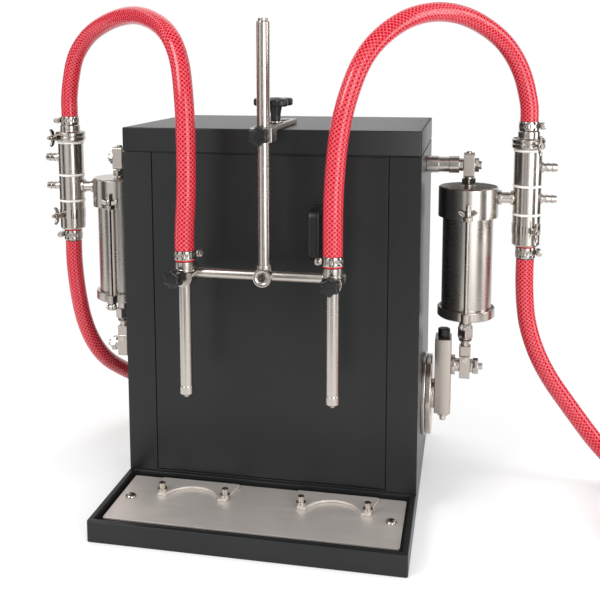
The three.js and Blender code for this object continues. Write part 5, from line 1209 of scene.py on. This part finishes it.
def make_valve(side):
    """The valve's upright body with its white seal rings, its port, barbs, clips and hose bands."""
    where = ("z", (VALVE_X, CRANK_Y, 0), side)
    body = turned([
        [3.5, 275.3], [8, 275.3], [8, 291], [14, 291], [16, 293], [16, 326.9], [15.5, 327.3],
        [15.5, 329.8], [16, 330.2], [16, 360.3], [15.5, 360.7], [15.5, 363.2], [16, 363.6],
        [16, 402.0], [15.5, 402.4], [15.5, 405], [12, 405], [12, 396.7], [3.5, 396.7]], 96, 0.3)
    seals = [(ring(15.3, 16.6, low, low + 2.5, 96, 0.35), "ptfe", True)
             for low in (327.3, 360.7, 402.5)]
    port = turned(stepped(249.5, 6.5, 254.8, 8.5, 257.8, 6.5, 268.2, 8.5, 271.2, 6.5, 273), 64, 0.4)
    dress(f"valve_body_{side}", f"pump_{side}", placed([
        (body, "turned_z", True), *seals, (laid(port, "x", (-VALVE_X, 0, PORT_Z)), "turned_x"),
        barb(5.5, 384), barb(5.0, PORT_Z), *clip_lug(16.0, 311.3),
        (ring(15.8, 16.7, 305.6, 317.0, 96), "polished", True),
        (ring(8.1, 10.4, 288.7, 290.4), "cut_hose", True),
        *worm_band(BAND_RADIUS, 276.7, 12.1)], *where))

    outlet = turned([
        [3.5, 397], [11.7, 397], [11.7, 405.3], [17.6, 405.3], [19, 407.2], [19, 411],
        [18.2, 411.6], [18.2, 412.2], [19, 412.8], [19, 416.2], [17.6, 418], [12.5, 418],
        [12.5, 425.4], [10.4, 427], [10.4, 436.9], [3.5, 436.9]], 96, 0.35)
    dress(f"valve_outlet_{side}", f"pump_{side}", placed([
        (outlet, "turned_z", True), *clip_lug(19.0, 411.7),
        *worm_band(BAND_RADIUS, 427.1, 9.8)], *where))


def make_valves():
    """The valve beside each pump."""
    for side in SIDES:
        make_valve(side)


# Stage, in metres but for the camera's place. Each flag: x, y, width and lower edge.
CAMERA_PLACE, CAMERA_SHIFT = (221.0, -956.5, 509.6), (0.0208, -0.2113)
CAMERA_ROLL = math.radians(-0.14)
SENSOR_WIDTH, CLIP_START, CLIP_END = 36.0, 0.05, 20.0
FLOOR_SIZE = 6.0
SQUARE = ((-1, -1), (1, -1), (1, 1), (-1, 1))
FLAG_HEIGHT = 1.3
FLAGS = [(-0.13, -0.72, 0.16, 0), (0.165, -0.8, 0.14, 0), (0.95, -0.35, 0.4, 0),
         (1.0, 0.42, 0.6, 0), (-0.85, -0.45, 0.36, 0), (-1.05, 0.3, 0.6, 0), (0.3, 1.3, 0.34, 0.45)]
CEILING_FLAG = (1.5, 1.1)
SKY_FILL = 0.62

# Each soft box: name, place, what it faces, width, height and power in watts
LIGHTS = [
    ("key_box", (-1.3, -1.7, 1.9), (0, 0, 0.25), 1.1, 1.1, 34),
    ("fill_box", (1.02, -1.38, 0.72), (0, 0, 0.72), 0.7, 1.4, 13),
    ("top_box", (0.0, 0.3, 2.2), (0, 0, 0.2), 1.6, 1.2, 20),
    ("side_box", (1.5, -0.12, 0.6), (0.2, 0.05, 0.3), 0.4, 1.1, 7),
]


def make_camera():
    """The camera in its place, turned by its yaw, then its pitch, then its roll."""
    studio = bpy.context.scene.filling_studio
    data = bpy.data.cameras.new("camera")
    data.lens, data.sensor_width = studio.lens, SENSOR_WIDTH
    data.shift_x, data.shift_y = CAMERA_SHIFT
    data.clip_start, data.clip_end = CLIP_START, CLIP_END
    camera = new_object("camera", data)
    camera.location = at(CAMERA_PLACE)
    turn = Matrix.Rotation(studio.yaw, 4, "Z") @ Matrix.Rotation(math.pi / 2 - studio.pitch, 4, "X")
    camera.rotation_euler = (turn @ Matrix.Rotation(CAMERA_ROLL, 4, "Z")).to_euler()
    bpy.context.scene.camera = camera


def look_at(direction):
    """The turn that points an object's -Z along a direction, with its +Y as upright as it can
    be."""
    back = -unit(direction)
    side = unit(np.cross((0, 0, 1), back))
    return np.stack([side, np.cross(back, side), back], axis=-1)


def stage_plane(name, corners, material):
    """One flat sheet of the stage."""
    mesh = bpy.data.meshes.new(name)
    mesh.from_pydata(corners, [], [(0, 1, 2, 3)])
    mesh.materials.append(material)
    sheet = new_object(name, mesh)
    return sheet


def seen_directly(tree):
    """1 for a ray from the camera, a gloss or a glass, and 0 for any other."""
    camera, gloss, glass = (add_node(tree, "LightPath").outputs[f"Is {ray} Ray"]
                            for ray in ("Camera", "Glossy", "Transmission"))
    seen = add_node(tree, "Math", {0: camera, 1: gloss}, operation="MAXIMUM")
    return add_node(tree, "Math", {0: seen, 1: glass}, operation="MAXIMUM")


def make_floor():
    """A level plane with a slightly uneven pale finish. The camera and the reflections see it as
    white as the background, and it keeps the object's shadow."""
    material, tree, spot = new_material("matt_white_paper")
    cloud = add_node(tree, "TexNoise", {"Vector": spot, "Scale": 3.0, "Detail": 2.0})
    colour = linear(bpy.context.scene.filling_studio.floor)
    paper = add_node(tree, "BsdfPrincipled", {
        "Base Color": add_node(
            tree, "Mix", {0: cloud, 6: colour, 7: linear("#f6f6f6")}, data_type="RGBA"),
        "Roughness": 0.9})
    away = add_node(tree, "VectorMath", {0: spot}, operation="LENGTH")
    far = add_node(tree, "MapRange", {0: away, 1: 0.45, 2: 1.1, 3: 0.3, 4: 1.0})
    white = add_node(tree, "Math", {0: far, 1: seen_directly(tree)}, operation="MULTIPLY")
    glow = add_node(tree, "Emission", {"Color": WHITE, "Strength": 1.0})
    both = add_node(tree, "MixShader", {0: white, 1: paper, 2: glow})
    add_node(tree, "OutputMaterial", {"Surface": both})
    stage_plane("floor", [(u * FLOOR_SIZE, v * FLOOR_SIZE, 0) for u, v in SQUARE], material)

def make_flags():
    """Black flags on stands round the object and one above it, as a photographer sets them: only
    gloss sees them, and they draw the dark bands in round steel."""
    material, tree, spot = new_material("black_velvet")
    nap = add_node(tree, "TexNoise", {"Vector": spot, "Scale": 40.0, "Detail": 2.0})
    shaded(material, {
        "Base Color": add_node(
            tree, "Mix", {0: nap, 6: linear("#161412"), 7: linear("#24211f")}, data_type="RGBA"),
        "Roughness": 1.0})
    width, depth = CEILING_FLAG
    sheets = [[(width / 2 * u, depth / 2 * v, FLAG_HEIGHT) for u, v in SQUARE]]
    for x, y, width, low in FLAGS:
        across = np.array([y, -x]) / math.hypot(x, y) * width / 2
        sheets.append([(x + across[0] * u, y + across[1] * u, FLAG_HEIGHT if v > 0 else low)
                       for u, v in SQUARE])
    for index, corners in enumerate(sheets):
        flag = stage_plane(f"flag_{index}", corners, material)
        flag.visible_camera = flag.visible_diffuse = flag.visible_shadow = False
        flag.visible_transmission = flag.visible_volume_scatter = False


def make_world():
    """A white background for the camera, for gloss and for glass, and a plain grey sky as fill
    light."""
    world = bpy.data.worlds.new("studio")
    bpy.context.scene.world = world
    world.use_nodes = True
    tree = world.node_tree
    tree.nodes.clear()
    strength = add_node(tree, "MapRange", {0: seen_directly(tree), 3: SKY_FILL})
    sky = add_node(tree, "Background", {"Color": WHITE, "Strength": strength})
    add_node(tree, "OutputWorld", {"Surface": sky})


def make_lights():
    """Soft boxes, each as wide and high as it says, and facing its target."""
    for name, place, target, width, height, power in LIGHTS:
        data = bpy.data.lights.new(name, "AREA")
        data.shape, data.size, data.size_y, data.energy = "RECTANGLE", width, height, power
        light = new_object(name, data)
        light.location = place
        light.rotation_euler = Matrix(look_at(np.subtract(target, place))).to_euler()
    bpy.context.scene.view_settings.view_transform = "Standard"


# Operators
class FILLING_OT_stage(bpy.types.Operator):
    """Make the camera, the floor, the lights and the background"""

    bl_idname = "filling.stage"
    bl_label = "Stage"

    def execute(self, context):
        make_camera()
        make_floor()
        make_flags()
        make_world()
        make_lights()
        return {"FINISHED"}


class FILLING_OT_hoses(bpy.types.Operator):
    """Make the two outlet hoses and the two suction hoses with their coils"""

    bl_idname = "filling.hoses"
    bl_label = "Hoses"

    def execute(self, context):
        make_suction_hoses()
        make_outlet_hoses()
        return {"FINISHED"}


class FILLING_OT_cabinet(bpy.types.Operator):
    """Make the cabinet with its panels, handle, tray, plate, nests and what is on its back"""

    bl_idname = "filling.cabinet"
    bl_label = "Cabinet"

    def execute(self, context):
        make_cabinet()
        return {"FINISHED"}


class FILLING_OT_stand(bpy.types.Operator):
    """Make the slotted rail, the post and the cross bar with their clamping knobs"""

    bl_idname = "filling.stand"
    bl_label = "Stand"

    def execute(self, context):
        make_stand()
        return {"FINISHED"}


class FILLING_OT_nozzles(bpy.types.Operator):
    """Make the two nozzles with their clamps, knobs and hose bands"""

    bl_idname = "filling.nozzles"
    bl_label = "Nozzles"

    def execute(self, context):
        make_nozzles()
        return {"FINISHED"}


class FILLING_OT_cranks(bpy.types.Operator):
    """Make the crank discs with their bearings, stroke adjusters, sliders and screws"""

    bl_idname = "filling.cranks"
    bl_label = "Cranks"

    def execute(self, context):
        make_cranks()
        return {"FINISHED"}


class FILLING_OT_pumps(bpy.types.Operator):
    """Make the two piston pumps with their pivots, tie rods and rod ends"""

    bl_idname = "filling.pumps"
    bl_label = "Pumps"

    def execute(self, context):
        make_pumps()
        return {"FINISHED"}


class FILLING_OT_valves(bpy.types.Operator):
    """Make the two valves with their ports, barbs, clips and hose bands"""

    bl_idname = "filling.valves"
    bl_label = "Valves"

    def execute(self, context):
        make_valves()
        return {"FINISHED"}


class FILLING_PT_panel(bpy.types.Panel):
    """Lists the settings and the groups of pieces"""

    bl_idname = "FILLING_PT_panel"
    bl_label = "Filling machine"
    bl_space_type = "VIEW_3D"
    bl_region_type = "UI"
    bl_category = "Filling machine"

    def draw(self, context):
        for key, settings in SETTINGS.items():
            for name in settings.__annotations__:
                self.layout.prop(getattr(context.scene, key), name)
        for step in STEPS:
            self.layout.operator(f"filling.{step}")


SETTINGS = {
    "filling_hose": HoseSettings,
    "filling_steel": SteelSettings,
    "filling_cabinet": CabinetSettings,
    "filling_studio": StudioSettings,
}
STEPS = ("stage", "hoses", "cabinet", "stand", "nozzles", "cranks", "pumps", "valves")
CLASSES = (*SETTINGS.values(), FILLING_OT_stage, FILLING_OT_hoses, FILLING_OT_cabinet,
           FILLING_OT_stand, FILLING_OT_nozzles, FILLING_OT_cranks, FILLING_OT_pumps,
           FILLING_OT_valves, FILLING_PT_panel)


def register():
    """Adds the classes and their settings to Blender."""
    for kind in CLASSES:
        bpy.utils.register_class(kind)
    for key, group in SETTINGS.items():
        setattr(bpy.types.Scene, key, bpy.props.PointerProperty(type=group))


def unregister():
    """Takes the classes and their settings out again."""
    for key in SETTINGS:
        delattr(bpy.types.Scene, key)
    for kind in reversed(CLASSES):
        bpy.utils.unregister_class(kind)


def main():
    """Makes everything in order."""
    register()
    for step in STEPS:
        getattr(bpy.ops.filling, step)()


if __name__ == "__main__":
    main()
